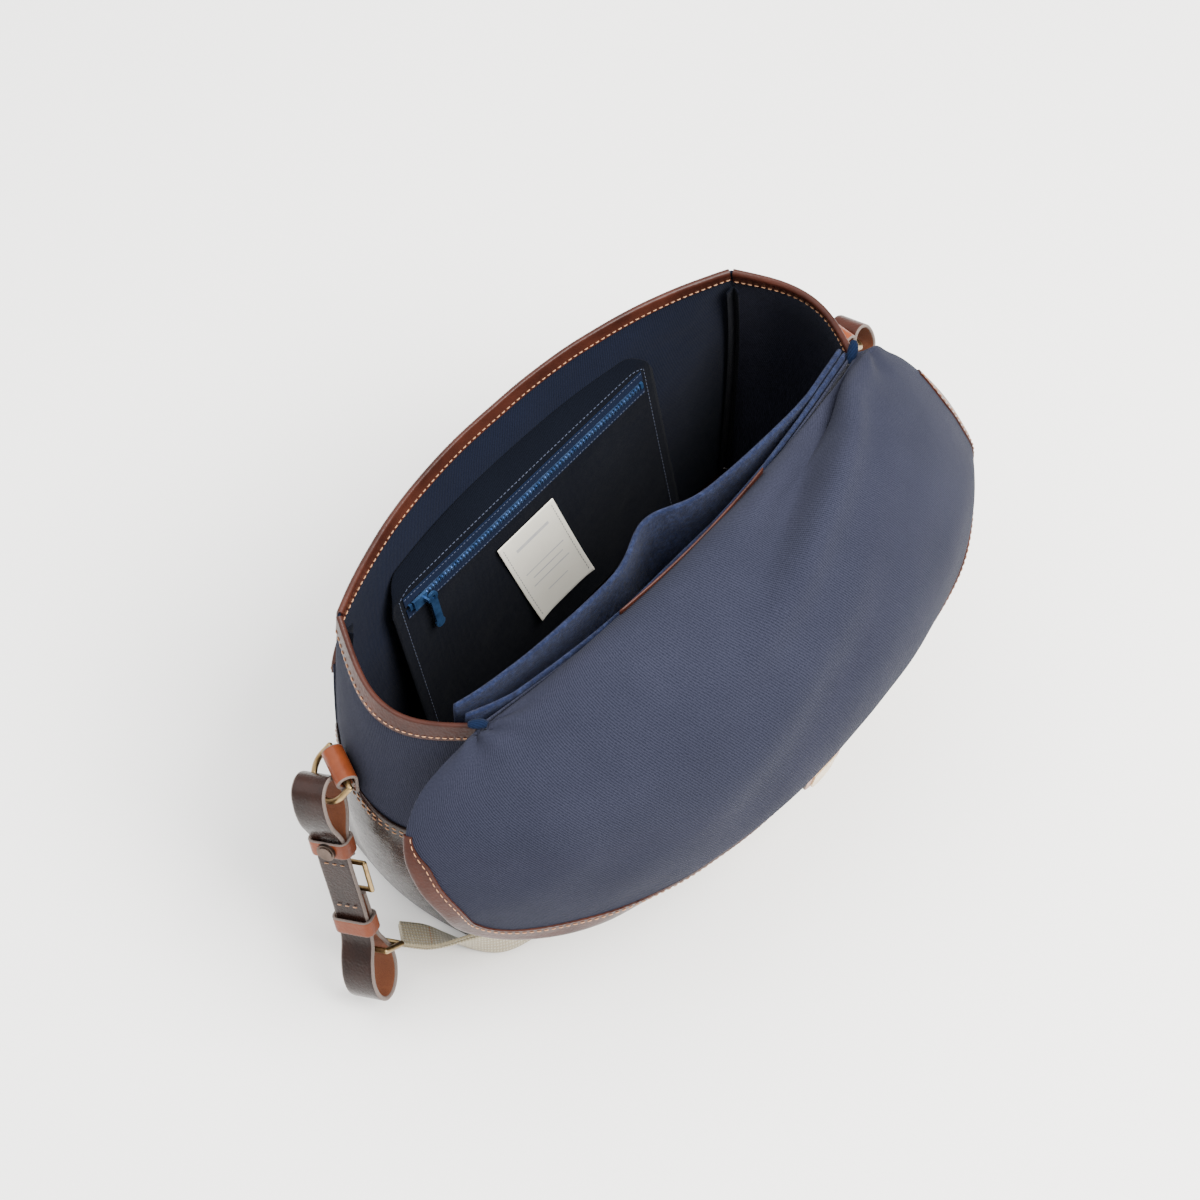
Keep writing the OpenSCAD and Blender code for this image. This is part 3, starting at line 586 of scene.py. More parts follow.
def tube_faces(rings, size, closed=False):
    """The side faces between rings of points, each of the given size."""
    return [(i * size + j, i * size + (j + 1) % size, (i + 1) % rings * size + (j + 1) % size,
             (i + 1) % rings * size + j) for i in range(rings if closed else rings - 1)
             for j in range(size)]


def smooth_path(points, count):
    """A smooth curve through given points, as count even places."""
    points = np.asarray(points, float)
    knots = np.concatenate([[0],
                            np.cumsum(np.sqrt(np.linalg.norm(np.diff(points[:, :3], axis=0), axis=1)))])
    slopes = np.gradient(points, knots, axis=0)
    dense = []
    for i in range(len(points) - 1):
        h = knots[i + 1] - knots[i]
        for t in np.linspace(0, 1, 24, endpoint=False):
            dense.append(hermite(t, h, points[i], points[i + 1], slopes[i], slopes[i + 1]))
    dense.append(points[-1])
    dense = np.array(dense)
    run = run_length(dense[:, :3])
    even = np.linspace(0, run[-1], count)
    return np.stack([np.interp(even, run, dense[:, c]) for c in range(points.shape[1])], 1)


def soft_noise(points, size, seed):
    """Smooth noise, about -1 to 1, at each point of an array in mm."""
    flat = np.asarray(points, float).reshape(-1, 3)
    values = [noise.noise(Vector((p[0] / size + seed * 7.3, p[1] / size - seed * 3.1, p[2] / size + seed)))
              for p in flat]
    return np.array(values).reshape(np.asarray(points).shape[:-1])


def ramp01(x):
    x = np.clip(x, 0, 1)
    return x * x * (3 - 2 * x)


# ---- The bag's shape, in mm, as in the CAD source -----------------------------------------------
BODY_H = 285.0
BASE_HALF_W = 205.0
SEAM_IN = 21.0
FRONT_SEAM = 62.0
BACK_SEAM = 60.0
MOUTH_BOW = 41.0
BASE_T = 3.0
CANVAS_T = 1.8
END_DIP = {1: 14.0, -1: 4.0}
POCKET_H = 226.0
RIM_Z = BODY_H - 2
FOOT_Z = BASE_T + 0.6
BINDING_T = 1.2
SIDES = ((1, "right"), (-1, "left"))


def rise(z):
    return np.asarray(z, float) / BODY_H


def corner_x(z):
    return BASE_HALF_W - SEAM_IN * rise(z) ** 3


def front_seam_y(x, z):
    return -(FRONT_SEAM - 3 * rise(z)) - 8 * rise(z) ** 2 * x / corner_x(BODY_H)


def back_seam_y(z):
    return BACK_SEAM - 6 * rise(z) ** 2


def front_bow(z):
    return 4 + (MOUTH_BOW - 4) * rise(z) ** 3


def front_y(x, z):
    u = np.clip(np.abs(x / corner_x(z)), 0, 1)
    full = 1 - u ** 2.3
    even = np.cos(math.pi / 2 * u)
    mouth = rise(z) ** 2
    return front_seam_y(x, z) - front_bow(z) * (even * (1 - mouth) + full * mouth)


def back_y(x, z):
    return back_seam_y(z) + (5 + 15 * rise(z) ** 2) * np.cos(math.pi / 2 * np.clip(x / corner_x(z), -1, 1))


def end_bulge(z):
    return 8 + 10 * rise(z) + 20 * np.sin(math.pi * rise(z))


def end_point(v, z, side, out=0.0):
    near = front_seam_y(side * corner_x(z), z)
    x = side * (corner_x(z) + end_bulge(z) * np.cos(math.pi / 2 * v) + out)
    return np.stack(np.broadcast_arrays(x, near + (back_seam_y(z) - near) * (v + 1) / 2, z), -1)


def mouth_z(v, side):
    return RIM_Z - END_DIP[side] * np.cos(math.pi / 2 * v)


def rumple(grid, depth, size, seed, edge_free=None):
    """Moves a grid along its normals by smooth noise, so that cloth isn't perfectly even."""
    amount = soft_noise(grid, size, seed) * depth + soft_noise(grid, size * 0.4, seed + 3) * depth * 0.3
    if edge_free is not None:
        amount = amount * edge_free
    return grid + grid_normals(grid) * amount[..., None]


def fade_edges(rows, cols, share=0.12):
    """1 in the middle of a grid, 0 at its four edges."""
    a = ramp01(np.minimum(np.linspace(0, 1, rows), np.linspace(1, 0, rows)) / share)
    b = ramp01(np.minimum(np.linspace(0, 1, cols), np.linspace(1, 0, cols)) / share)
    return a[:, None] * b[None, :]


# ---- Body panels -------------------------------------------------------------------------------
def wall_grid(surface, z0, z1, rows=58, cols=84, inset=0.6):
    z = np.linspace(z0, z1, rows)[:, None]
    u = np.linspace(-1, 1, cols)[None, :]
    x = u * (corner_x(z) - inset)
    z = z + 0 * x
    return np.stack([x, surface(x, z), z], -1)


def flat_uv(grid):
    """Cloth coordinates in metres: the length along each row and up each column."""
    across = np.cumsum(np.linalg.norm(np.diff(grid, axis=1, prepend=grid[:, :1]), axis=2), axis=1)
    across -= across[:, across.shape[1] // 2][:, None]
    up = np.cumsum(np.linalg.norm(np.diff(grid, axis=0, prepend=grid[:1]), axis=2), axis=0)
    return np.stack([across, up], -1) * MM


def sew(slot, name, row, normals, *style, **named_style):
    """A row of stitches that belongs to the bag."""
    place_on(stitches(name, row, normals, *style, **named_style), BODY, slot)


def place_on(piece, body, slot, *nodes):
    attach(piece, body)
    if nodes:
        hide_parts(*nodes)
    return piece


def make_walls():
    for name, surface, node in (("front_canvas", front_y, "front_panel"),
                                ("back_canvas", back_y, "back_panel")):
        flip = node == "front_panel"
        shift = CANVAS_T / 2 if flip else -CANVAS_T / 2
        grid = wall_grid(surface, FOOT_Z, RIM_Z)
        grid[..., 1] += shift
        grid = rumple(grid, 1.3, 55, 2 if flip else 5, fade_edges(*grid.shape[:2]))
        # The front panel's inside face takes the darker canvas copy, which is painted shade of the bag's
        # interior.
        piece = sheet(name, grid, CANVAS_T, "canvas_inner" if flip else "canvas", flat_uv(grid),
                      flip=not flip)
        place_on(piece, BODY, "canvas_navy", node)
    for side, word in SIDES:
        v = np.linspace(-0.985, 0.985, 40)[None, :]
        t = np.linspace(0, 1, 58)[:, None]
        z = FOOT_Z + (mouth_z(v, side) - FOOT_Z) * t
        grid = end_point(v + 0 * z, z, side, -CANVAS_T / 2)
        grid = rumple(grid, 1.6, 50, 8 + side, fade_edges(*grid.shape[:2]))
        piece = sheet("end_canvas_" + word, grid, CANVAS_T, "canvas", flat_uv(grid), flip=side < 0)
        place_on(piece, BODY, "canvas_navy", "end_panel_" + word)


def make_base():
    count = 28
    v = np.linspace(-0.96, 0.96, count)
    u = np.linspace(-1, 1, 60)
    x = u * (corner_x(0.0) - 0.5)
    front = np.stack([x, front_y(x, 0.0 * x), 0 * x], 1)
    right = end_point(v, np.zeros(count), 1)
    back = np.stack([x[::-1], back_y(x[::-1], 0 * x), 0 * x], 1)
    left = end_point(v[::-1], np.zeros(count), -1)
    ring = np.concatenate([front, right, back, left])
    ring[:, 2] = 0
    centre = ring.mean(0)
    away_from = ring - centre
    away_from /= np.linalg.norm(away_from, axis=1, keepdims=True)
    layers = [ring - away_from * inset + np.array([0, 0, z]) for inset, z in
              ((2.0, 0.0), (0.6, 0.5), (0.1, 1.5), (0.6, 2.5), (2.0, 3.0))]
    n = len(ring)
    points = np.concatenate(layers)
    faces = tube_faces(len(layers), n)
    faces += [tuple(range(n - 1, -1, -1)), tuple((len(layers) - 1) * n + j for j in range(n))]
    place_on(new_object("base_sole", points * MM, faces, "dark_brown"), BODY, "leather_brown",
             "base_leather")


def make_end_leathers():
    for side, word in SIDES:
        v = np.linspace(-0.985, 0.985, 44)[None, :]
        t = np.linspace(0, 1, 40)[:, None]
        top = 162 + 20 * np.cos(math.pi / 2 * (v + 0.35)) ** 2
        z = FOOT_Z + (top - FOOT_Z) * t
        grid = end_point(v + 0 * z, z, side, 1.3)
        grid = rumple(grid, 0.9, 40, 20 + side, fade_edges(*grid.shape[:2]))
        piece = sheet("end_leather_" + word + "_skin", grid, 1.9, "dark_brown", flat_uv(grid),
                      flip=side < 0)
        place_on(piece, BODY, "leather_brown", "end_leather_" + word)
        for drop in (4.0, 9.0):
            row = end_point(v[0], top[0] - drop, side, 2.3)
            out = grid_normals(grid)[-3]
            sew("leather_brown", f"end_leather_{word}_stitch_{int(drop)}", row,
                out * np.sign(out[:, :1] * side))


def edge_strip(points_at, depths, places):
    """Points at each depth below an edge, as (places, depths, 3)."""
    return np.stack([points_at(places, d) for d in depths], 1)


def surface_normals(strip, outward_hint):
    along = np.gradient(strip, axis=0)
    down = np.gradient(strip, axis=1)
    normal = np.cross(along, down)
    normal /= np.linalg.norm(normal, axis=2, keepdims=True)
    same = np.sign((normal * np.asarray(outward_hint)).sum(2, keepdims=True))
    return normal * same


def bind_edge(name, node, strip, outward, wave=None, seam_row=4, seams=((1, "_outer"), (-1, "_inner"))):
    """A folded leather binding over an upper edge, with its rows of stitches."""
    normals = surface_normals(strip, outward)
    up = np.broadcast_to([0.0, 0, 1], strip[:, 0].shape)
    if wave:
        size, seed, height = wave
        strip = strip + soft_noise(strip[:, 0], size, seed)[:, None, None] * np.array([0, 0, height])
    piece = folded_edge(name + "_fold", strip, normals, up, CANVAS_T / 2 + 0.1, BINDING_T, "brown")
    place_on(piece, BODY, "leather_brown", node)
    for sign, face in seams:
        row = strip[:, seam_row] + normals[:, seam_row] * sign * (CANVAS_T / 2 + BINDING_T + 0.1)
        sew("leather_brown", name + "_stitch" + face, row, normals[:, seam_row] * sign, pitch=4.6,
            length=3.0)


def make_bindings():
    def front_place(u, d):
        z = RIM_Z - d
        x = u * (corner_x(z) - 1)
        return np.stack([x, front_y(x, z) + CANVAS_T / 2, z + 0 * x], 1)

    strip = edge_strip(front_place, np.linspace(0, 8.5, 6), np.linspace(0.995, -0.995, 150))
    bind_edge("binding_front", "binding_front", strip, (0, -1, 0), (26, 31, 0.7))
    for side, word in SIDES:
        def end_place(v, d):
            return end_point(v, mouth_z(v, side) - d, side, -CANVAS_T / 2)

        strip = edge_strip(end_place, np.linspace(0, 12, 6), np.linspace(-0.97, 0.97, 80))
        bind_edge("binding_" + word, "binding_" + word, strip, (side, 0, 0), (22, 37 + side, 0.6))


def pocket_y(x, z):
    depth = (29 - 13 * z / POCKET_H) * (1 - np.abs(x / corner_x(z)) ** 8)
    return front_y(x, z) - 2.4 - depth


def make_front_pocket():
    u = np.sin(np.linspace(-1, 1, 90) * math.pi / 2)[None, :] * 0.99
    z = np.linspace(FOOT_Z, POCKET_H - 2, 50)[:, None]
    x = u * (corner_x(z) - 1)
    grid = np.stack([x, pocket_y(x, z) + CANVAS_T / 2, z + 0 * x], -1)
    grid = rumple(grid, 1.2, 50, 41, fade_edges(*grid.shape[:2]))
    place_on(sheet("front_pocket_canvas", grid, CANVAS_T, "canvas", flat_uv(grid)), BODY, "canvas_navy",
             "front_pocket")

    def rim_place(q, d):
        zz = POCKET_H - 2 - d
        xx = q * (corner_x(zz) - 1)
        return np.stack([xx, pocket_y(xx, zz + 0 * xx) + CANVAS_T / 2, zz + 0 * xx], 1)

    u = np.sin(np.linspace(-1, 1, 110) * math.pi / 2) * 0.985
    strip = edge_strip(rim_place, np.linspace(0, 9, 5), u)
    bind_edge("pocket_binding", "pocket_binding", strip, (0, -1, 0), seam_row=3, seams=((1, ""),))


def rounded_outline(width, height, radius, count=10):
    pts = []
    for cx, cy, first in ((1, 1, 0), (-1, 1, 90), (-1, -1, 180), (1, -1, 270)):
        for a in np.radians(np.linspace(first, first + 90, count)):
            pts.append((cx * (width / 2 - radius) + radius * math.cos(a),
                        cy * (height / 2 - radius) + radius * math.sin(a)))
    return np.array(pts)


def leather_plate(name, outline, put, low, high, materials):
    """A flat cut of leather between two local heights, with a softened upper edge."""
    n = len(outline)
    centre = outline.mean(0)
    way = outline - centre
    way /= np.linalg.norm(way, axis=1, keepdims=True)
    levels = [(low, 0.25), (low + 0.25, 0.0), (high - 0.5, 0.0), (high - 0.12, 0.25), (high, 0.8)]
    points = []
    for z, inset in levels:
        ring = outline - way * inset
        points.append(np.column_stack([ring, np.full(n, z)]))
    faces = tube_faces(len(levels), n)
    kinds = [1] * n * 3 + [0] * n
    faces += [tuple(range(n - 1, -1, -1)), tuple((len(levels) - 1) * n + j for j in range(n))]
    kinds += [2 if len(materials) > 2 else 0, 0]
    return new_object(name, put(np.concatenate(points)) * MM, faces, materials, kinds=kinds)


LOCK_Z = 204.0


def make_lock():
    lean = math.degrees(math.atan((float(pocket_y(0.0, 190.0)) - float(pocket_y(0.0, 218.0))) / 28))
    put = turned((0, float(pocket_y(0.0, LOCK_Z)) - 1, LOCK_Z), (90 + lean, 0, 0))
    outline = rounded_outline(44, 28, 6)
    place_on(leather_plate("lock_patch_leather", outline, put, 0, 1.8, ("brown", "edge", "suede")), BODY,
             "leather_brown", "lock_patch")
    ring = rounded_outline(39.5, 23.5, 4.5)
    loop = np.column_stack([np.vstack([ring, ring[:1]]), np.full(len(ring) + 1, 1.8)])
    sew("leather_brown", "lock_patch_stitch", put(loop), put([[0, 0, 1.0]], True)[0], pitch=4.4, length=3.0)


ZIP_LEAN = 0.2
ZIP_Y, ZIP_Z = -64.0, 225.0
ZIP_X0, ZIP_X1 = -102.0, 126.0
LINING_X0, LINING_X1 = -118.0, 142.0


def lining_y(x, z):
    leaning = ZIP_Y + (ZIP_Z - z) * ZIP_LEAN
    top = ZIP_Y + (ZIP_Z - 238) * ZIP_LEAN
    hung = top + (front_y(x, 246.0 + 0 * x) + 2.4 - top) * (z - 238) / 8
    low = ZIP_Y + (ZIP_Z - 80) * ZIP_LEAN - (80 - z) * 0.6
    return np.where(z > 238, hung, np.where(z > 80, leaning, low))


def make_zip_pocket():
    radius = 20.0
    x = np.linspace(LINING_X0, LINING_X1, 100)[None, :]
    in_corner = np.maximum(radius - np.minimum(x - LINING_X0, LINING_X1 - x), 0)
    top = 246 - (radius - np.sqrt(np.maximum(radius ** 2 - in_corner ** 2, 0)))
    z = 52 + (top - 52) * np.linspace(0, 1, 80)[:, None]
    x = x + 0 * z
    grid = np.stack([x, lining_y(x, z) + 0.6, z], -1)
    loose = fade_edges(*grid.shape[:2], 0.18)
    sag = np.exp(-((z - 150) / 60) ** 2) * 3.0 * np.sin((x + 118) / 260 * math.pi)
    grid[..., 1] += sag * loose - 0.8 * loose
    grid = rumple(grid, 1.0, 45, 51, loose * np.clip(np.abs(z - ZIP_Z) / 14, 0, 1))
    place_on(sheet("zip_pocket_lining", grid, 1.2, "lining", flat_uv(grid), flip=True), BODY, "lining_dark",
             "zip_pocket")
    normals = grid_normals(grid)
    normals = normals * np.sign(normals[..., 1:2])
    facing, border = (np.concatenate([rows[4:77, 3], rows[76, 4:97], rows[76:3:-1, 96]])
                      for rows in (normals, grid))
    border = border + facing * 0.6
    sew("lining_dark", "zip_pocket_stitch", border, facing, "dark_stitch", 3.6, 2.5, 0.3, 0.1)
    put = turned((0, float(lining_y(np.array(0.0), np.array(ZIP_Z))) + 1.3, ZIP_Z),
                 (math.degrees(math.atan(ZIP_LEAN)), 0, 0))
    for way, word in ((1, "upper"), (-1, "lower")):
        along = np.linspace(ZIP_X0 - 5, ZIP_X1 + 5, 120)
        wave = soft_noise(np.column_stack([along, 0 * along, 0 * along]), 40, 60 + way) * 0.15
        path = put(np.column_stack([along, 0.35 + wave, np.full(120, way * 6.0)]))
        tape = sweep("zip_tape_" + word, path, rounded_strip(9.2, 0.7), "tape", put([[0, 1.0, 0]], True)[0])
        place_on(tape, BODY, "zip_cloth")
        row = put(np.column_stack([along, np.full(120, 0.7), np.full(120, way * 9.0)]))
        sew("zip_cloth", "zip_tape_stitch_" + word, row, put([[0, 1.0, 0]], True)[0], "dark_stitch", 3.0,
            2.1, 0.25, 0.05)
    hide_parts("zip_tape")


def make_care_label():
    s = np.linspace(-1, 1, 36)[None, :]
    t = np.linspace(0, 1, 50)[:, None]
    z = 112 + 92 * t + 0 * s
    x = 4 + 18 * t + 27.5 * s
    curl = 1.4 * (np.abs(s) ** 4) * (1 - t) ** 2 + 2.2 * (1 - t) ** 6
    grid = np.stack([x + 0 * z, lining_y(x + 0 * z, z) + 4.2 + curl + 0 * s, z], -1)
    uv = np.stack(np.broadcast_arrays(s * 27.5, (t - 0.5) * 92), -1) * MM
    place_on(sheet("care_label_cloth", grid, 0.7, "label", uv, flip=True), BODY, "label_cloth",
             "care_label")
    for column, word in ((2, "left"), (33, "right")):
        row = grid[2:-2, column] + np.array([0, 0.45, 0])
        sew("label_cloth", "care_label_stitch_" + word, row, (0, 1, 0.2), "dark_stitch", 3.4, 2.2, 0.22,
            0.05)


def back_limit(x, z):
    return back_y(x, z) - 5.0


def rear_curve(x, z):
    return np.minimum(68 * (1 - 0.42 * np.abs(x / 196) ** 4) - 0.02 * x, back_limit(x, z))


def front_curve(x, z):
    free = (48 - 0.04 * x) * (1 - 0.34 * np.abs(x / 200) ** 6) - 14 * np.exp(-((x - 4) / 26) ** 2)
    return np.minimum(free, rear_curve(x, z) - 4.8)


def make_felt():
    for word, curve, seed in (("front", front_curve, 71), ("rear", rear_curve, 77)):
        x = np.linspace(-181, 183, 150)[None, :]
        t = np.linspace(0, 1, 60)[:, None]
        top = 281 + 1.2 * np.sin(x / 31 + seed)
        z = 7 + (top - 7) * t
        grid = np.stack([x + 0 * z, curve(x + 0 * z, z), z], -1)
        grid = rumple(grid, 0.8, 34, seed, 0.3 + 0.7 * fade_edges(*grid.shape[:2]))
        piece = sheet(f"felt_{word}_divider", grid, 3.8, "felt", flat_uv(grid), layers=5)
        place_on(piece, BODY, "felt_blue", "felt_" + word)


def make_slip_edge():
    x = np.linspace(-70, 70, 50)[None, :]
    z = np.linspace(285.4, 294.6, 8)[:, None]
    grid = np.stack([x + 0 * z, back_y(x, BODY_H + 0 * x) - 0.75 + 0 * z, z + 0 * x], -1)
    place_on(sheet("slip_edge_leather", grid, 1.4, "brown", flat_uv(grid), flip=True), BODY,
             "leather_brown",
             "slip_pocket_edge")
    row = grid[3] - np.array([0, 0.7, 0])
    sew("leather_brown", "slip_edge_stitch", row, (0, -1, 0), pitch=4.4, length=2.8, radius=0.35)


def make_corner_tabs():
    """The folded ends of the rim tape, which stand up at the two back corners."""
    for side, word in SIDES:
        x, y = side * (float(corner_x(BODY_H)) + 3), float(back_seam_y(BODY_H)) - 2
        path = smooth_path([(x - side * 8, y + 4, 281), (x - side * 4, y + 2, 285.5), (x, y, 288),
                            (x + side * 3, y - 2.5, 289)], 24)
        size = np.sin(np.linspace(0.35, math.pi - 0.25, 24)) ** 0.45
        section = [[(3.6 * k * math.cos(a), 2.7 * k * math.sin(a))
                    for a in np.linspace(0, 2 * math.pi, 16, endpoint=False)]
                   for k in size]
        place_on(sweep("corner_tape_" + word, path, np.array(section), "tape"), BODY, "felt_blue",
                 "corner_tab_" + word)


def make_inner_seams():
    for side, word in ((-1, "left"), (1, "right")):
        z = np.linspace(12, 268, 50)[:, None]
        w = np.linspace(-6, 6, 6)[None, :]
        x = side * (corner_x(z) - 3 - np.abs(w) * 0.4) - side * np.maximum(w, 0) * 0.9
        y = front_seam_y(side * corner_x(z), z) + 4.0 - np.minimum(w, 0) * 0.9
        grid = np.stack([x + 0 * w, y + 0 * w, z + 0 * w], -1)
        place_on(sheet("inner_seam_tape_" + word, grid, 0.8, "lining", flat_uv(grid), flip=side < 0), BODY,
                 "lining_dark")


# ---- Hardware tabs and straps --------------------------------------------------------------------
ROLL_R = 7.5
BAND_W = 25.0
TAB_PLACE = {1: (-26.0, 200.0, -24.0, 3.4), -1: (2.0, 200.0, 0.0, 2.0)}


def tab_frame(side):
    y, z, turn, clear = TAB_PLACE[side]
    near = float(front_seam_y(side * corner_x(z), z))
    v = 2 * (y - near) / (float(back_seam_y(z)) - near) - 1
    x = side * (float(corner_x(z)) + float(end_bulge(z)) * math.cos(math.pi / 2 * v) + ROLL_R + clear)
    return x, turned((x, y, z), (0, 0, turn))


def make_ring_tabs():
    for side, word in SIDES:
        _, put = tab_frame(side)
        mid = ROLL_R - 1.3
        loop = [(-side * mid * math.cos(a), mid * math.sin(a)) for a in np.radians(np.linspace(0, 318, 16))]
        route = [(-side * mid, -17), (-side * mid, -12), (-side * mid, -6)] + loop
        piece = bent_strip(f"ring_tab_{word}_leather", route if side > 0 else route[::-1], put, 27, 2.4,
                           ("cognac", "edge", "suede"))
        place_on(piece, BODY, "leather_cognac", "ring_tab_" + word)


BAND_ROUTE = [(-4, -62), (-4, -44), (-11, -28), (-12.5, -12), (-8.5, 1), (0, 5.5), (8.5, 1), (11.5, -12),
              (10, -26),
              (3, -44), (2.5, -70), (2, -110), (4, -136), (11, -150), (15, -164), (13, -178), (6, -187),
              (-2, -188),
              (-9, -183), (-14, -172), (-14, -158), (-9, -145), (-4.5, -134), (-3.5, -110), (-3, -96)]
at_band = turned((252, -33, 190), (17.9, -16.7, 17))


def make_band():
    place_on(bent_strip("carrying_band_leather", BAND_ROUTE, at_band, BAND_W, 3.2,
                        ("dark_brown", "edge", "suede"), 260),
             BODY, "leather_brown", "carrying_band")
    for v, word in ((-51, "upper"), (-122, "lower")):
        outline = rounded_outline(14, BAND_W + 3.0, 4.4, 9)
        centre = np.array([-0.4, 0, v])
        path = np.column_stack([outline[:, 0], outline[:, 1], np.zeros(len(outline))]) + centre
        way = np.roll(outline, -1, 0) - np.roll(outline, 1, 0)
        out = np.column_stack([way[:, 1], -way[:, 0], 0 * way[:, 0]])
        piece = leather_strip(f"keeper_{word}_leather", at_band(path), at_band(out, True), 13, 2.0,
                              ("cognac", "edge", "suede"), True)
        place_on(piece, BODY, "leather_cognac", "keeper_" + word)
    for v in (-66.0, -104.0):
        row = np.column_stack([np.full(30, 2.4 + 1.7), np.linspace(-9, 9, 30), np.full(30, v)])
        sew("leather_brown", f"band_stitch_{int(-v)}", at_band(row), at_band([[1.0, 0, 0]], True)[0])


WEBBING_ROUTE = [(246, 26, 33, 22, 70), (236, 36, 27, 26, 60), (226, 48, 23, 32, 35), (214, 62, 21, 36, 12),
                 (200, 75, 20, 38, 0), (182, 83, 20, 38, 0), (156, 86, 20, 38, 0), (120, 87, 20, 38, 0),
                 (60, 88, 20, 38, 0), (0, 88, 20, 38, 0), (-60, 88, 20, 38, 0), (-110, 88, 20, 38, 0),
                 (-134, 90, 20, 38, 0), (-147, 96, 20, 38, 0), (-151, 105, 20, 38, 0),
                 (-146, 114, 20, 38, 0),
                 (-130, 118, 20, 38, 0), (-90, 117, 20, 38, 0), (-30, 116, 20, 38, 0), (20, 116, 20, 38, 0),
                 (42, 119, 20, 38, 0), (53, 126, 20, 38, 0), (54, 135, 20, 38, 0), (45, 142, 20, 38, 0),
                 (20, 144, 20, 38, 0), (-30, 143, 20, 38, 0), (-90, 140, 20, 38, 0), (-150, 132, 20, 38, 0),
                 (-192, 117, 20, 38, 0), (-221, 98, 23, 38, 0), (-238, 78, 33, 38, 0),
                 (-246, 61, 52, 38, 0),
                 (-249, 46, 78, 36, 0), (-250, 34, 104, 31, 0), (-251, 26, 124, 26, 0)]
WEBBING_T = 2.4


def make_webbing():
    even = smooth_path(WEBBING_ROUTE, 420)
    path = even[:, :3]
    way = np.gradient(path, axis=0)
    way /= np.linalg.norm(way, axis=1, keepdims=True)
    side = np.cross(way, [0, 0, 1.0])
    side /= np.linalg.norm(side, axis=1, keepdims=True)
    up = np.cross(side, way)
    turn = np.radians(even[:, 4:5])
    wide = up * np.cos(turn) + side * np.sin(turn)
    thin = np.cross(way, wide)
    path = path + thin * soft_noise(path, 60, 90)[:, None] * 0.8
    section = np.array([rounded_strip(w, WEBBING_T) for w in even[:, 3]])
    strap = sweep("shoulder_webbing", path, section, "webbing", thin)
    place_on(strap, BODY, "webbing_cotton", "shoulder_strap")
    short = slice(0, 44)
    lift = thin[short] * (WEBBING_T * 0.96)
    fold = sweep("webbing_folded_end", path[short] + lift, section[short] * [0.97, 0.9], "webbing",
                 thin[short])
    place_on(fold, BODY, "webbing_cotton")
    for index in (8, 36):
        span = np.linspace(-0.42, 0.42, 20)[:, None] * even[index, 3]
        for face in (1, -1):
            offset = WEBBING_T * (1.45 if face > 0 else 0.5)
            row = path[index] + wide[index] * span + thin[index] * face * offset
            sew("webbing_cotton", f"webbing_stitch_{index}_{'out' if face > 0 else 'in'}", row,
                thin[index] * face, "stitch", 3.6, 2.6, 0.35)


LEFT_ROUTE = [(-3.4, -58), (-3.4, -24), (-8.5, -14), (-9, -4), (-6, 4), (0, 7), (6, 4), (9, -4), (8.5, -14),
              (3.4, -24), (3.4, -58)]


def make_left_end():
    x, _ = tab_frame(-1)
    put = turned((x - 18, 3, 186), (22, 0, 0))
    place_on(bent_strip("strap_end_left_leather", LEFT_ROUTE, put, BAND_W, 2.4, ("brown", "edge", "suede")),
             BODY,
             "leather_brown", "strap_end_left")
    for level in (-30.0, -52.0):
        for face in (1, -1):
            row = np.column_stack([np.full(24, face * 4.6), np.linspace(-9, 9, 24), np.full(24, level)])
            sew("leather_brown", f"strap_end_stitch_{int(-level)}_{'out' if face > 0 else 'in'}", put(row),
                put([[face * 1.0, 0, 0]], True)[0])


# ---- The flap: one draped cloth in three pieces that meet edge to edge ----------------------------
FLAP_PLACES = np.array([0, 15, 30, 50, 70, 100, 135, 175, 215, 247.0])
FLAP_EDGE = {
    1: np.array([(187, 55, 284), (212, 52, 276), (233, 50, 264), (251, 53, 247), (261, 60, 232),
                 (266, 74, 212), (263, 91, 188), (257, 98, 165), (246, 106, 137), (238, 122, 124)], float),
    -1: np.array([(187, 56, 284), (201, 61, 275), (213, 67, 263), (223, 77, 248), (229, 88, 234),
                  (235, 102, 213), (239, 115, 188), (243, 118, 166), (234, 128, 140), (224, 140, 126)],
                  float)}
CREST_R, DRAPE_R, CREST_A, DRAPE_A, ROOT_LEN = 21.5, 116.2, 75.0, -5.0, 30.0
DRAPE_TURN = 107 / 217
FLAP_LEN = 247.0
FOLD_S = 188.0
FLAP_CUTS = (57.0, 136.0)
SIDE_END = 150.0
FLAP_T = 2.4
HEM_BAND = 13.0
FLAP_BODIES = ("flap_rear_third", "flap_middle_third", "flap_front_third")


def drape(s, curled=True):
    """The flap's middle line, as y and z at the length s from the rim; its hem curls in a little."""
    s = np.asarray(s, float)
    sine = lambda a: np.sin(np.radians(a))
    cosine = lambda a: np.cos(np.radians(a))
    first = CREST_A - np.minimum(s, ROOT_LEN) / ROOT_LEN * (CREST_A - DRAPE_A)
    second = DRAPE_A - np.maximum(s - ROOT_LEN, 0) * DRAPE_TURN
    y = 70 + CREST_R * (sine(CREST_A) - sine(first)) + DRAPE_R * (sine(DRAPE_A) - sine(second))
    z = 284 + CREST_R * (cosine(first) - cosine(CREST_A)) + DRAPE_R * (cosine(second) - cosine(DRAPE_A))
    curl = np.maximum(s - 222, 0) / 25 * curled
    return y - 7 * curl ** 2, z + 2 * curl ** 2


def along_table(s, places, rows):
    slope = np.gradient(rows, places, axis=0)
    i = np.clip(np.searchsorted(places, s, side="right") - 1, 0, len(places) - 2)
    h = (places[i + 1] - places[i])[..., None]
    t = (s - places[i])[..., None] / h
    return hermite(t, h, rows[i], rows[i + 1], slope[i], slope[i + 1])


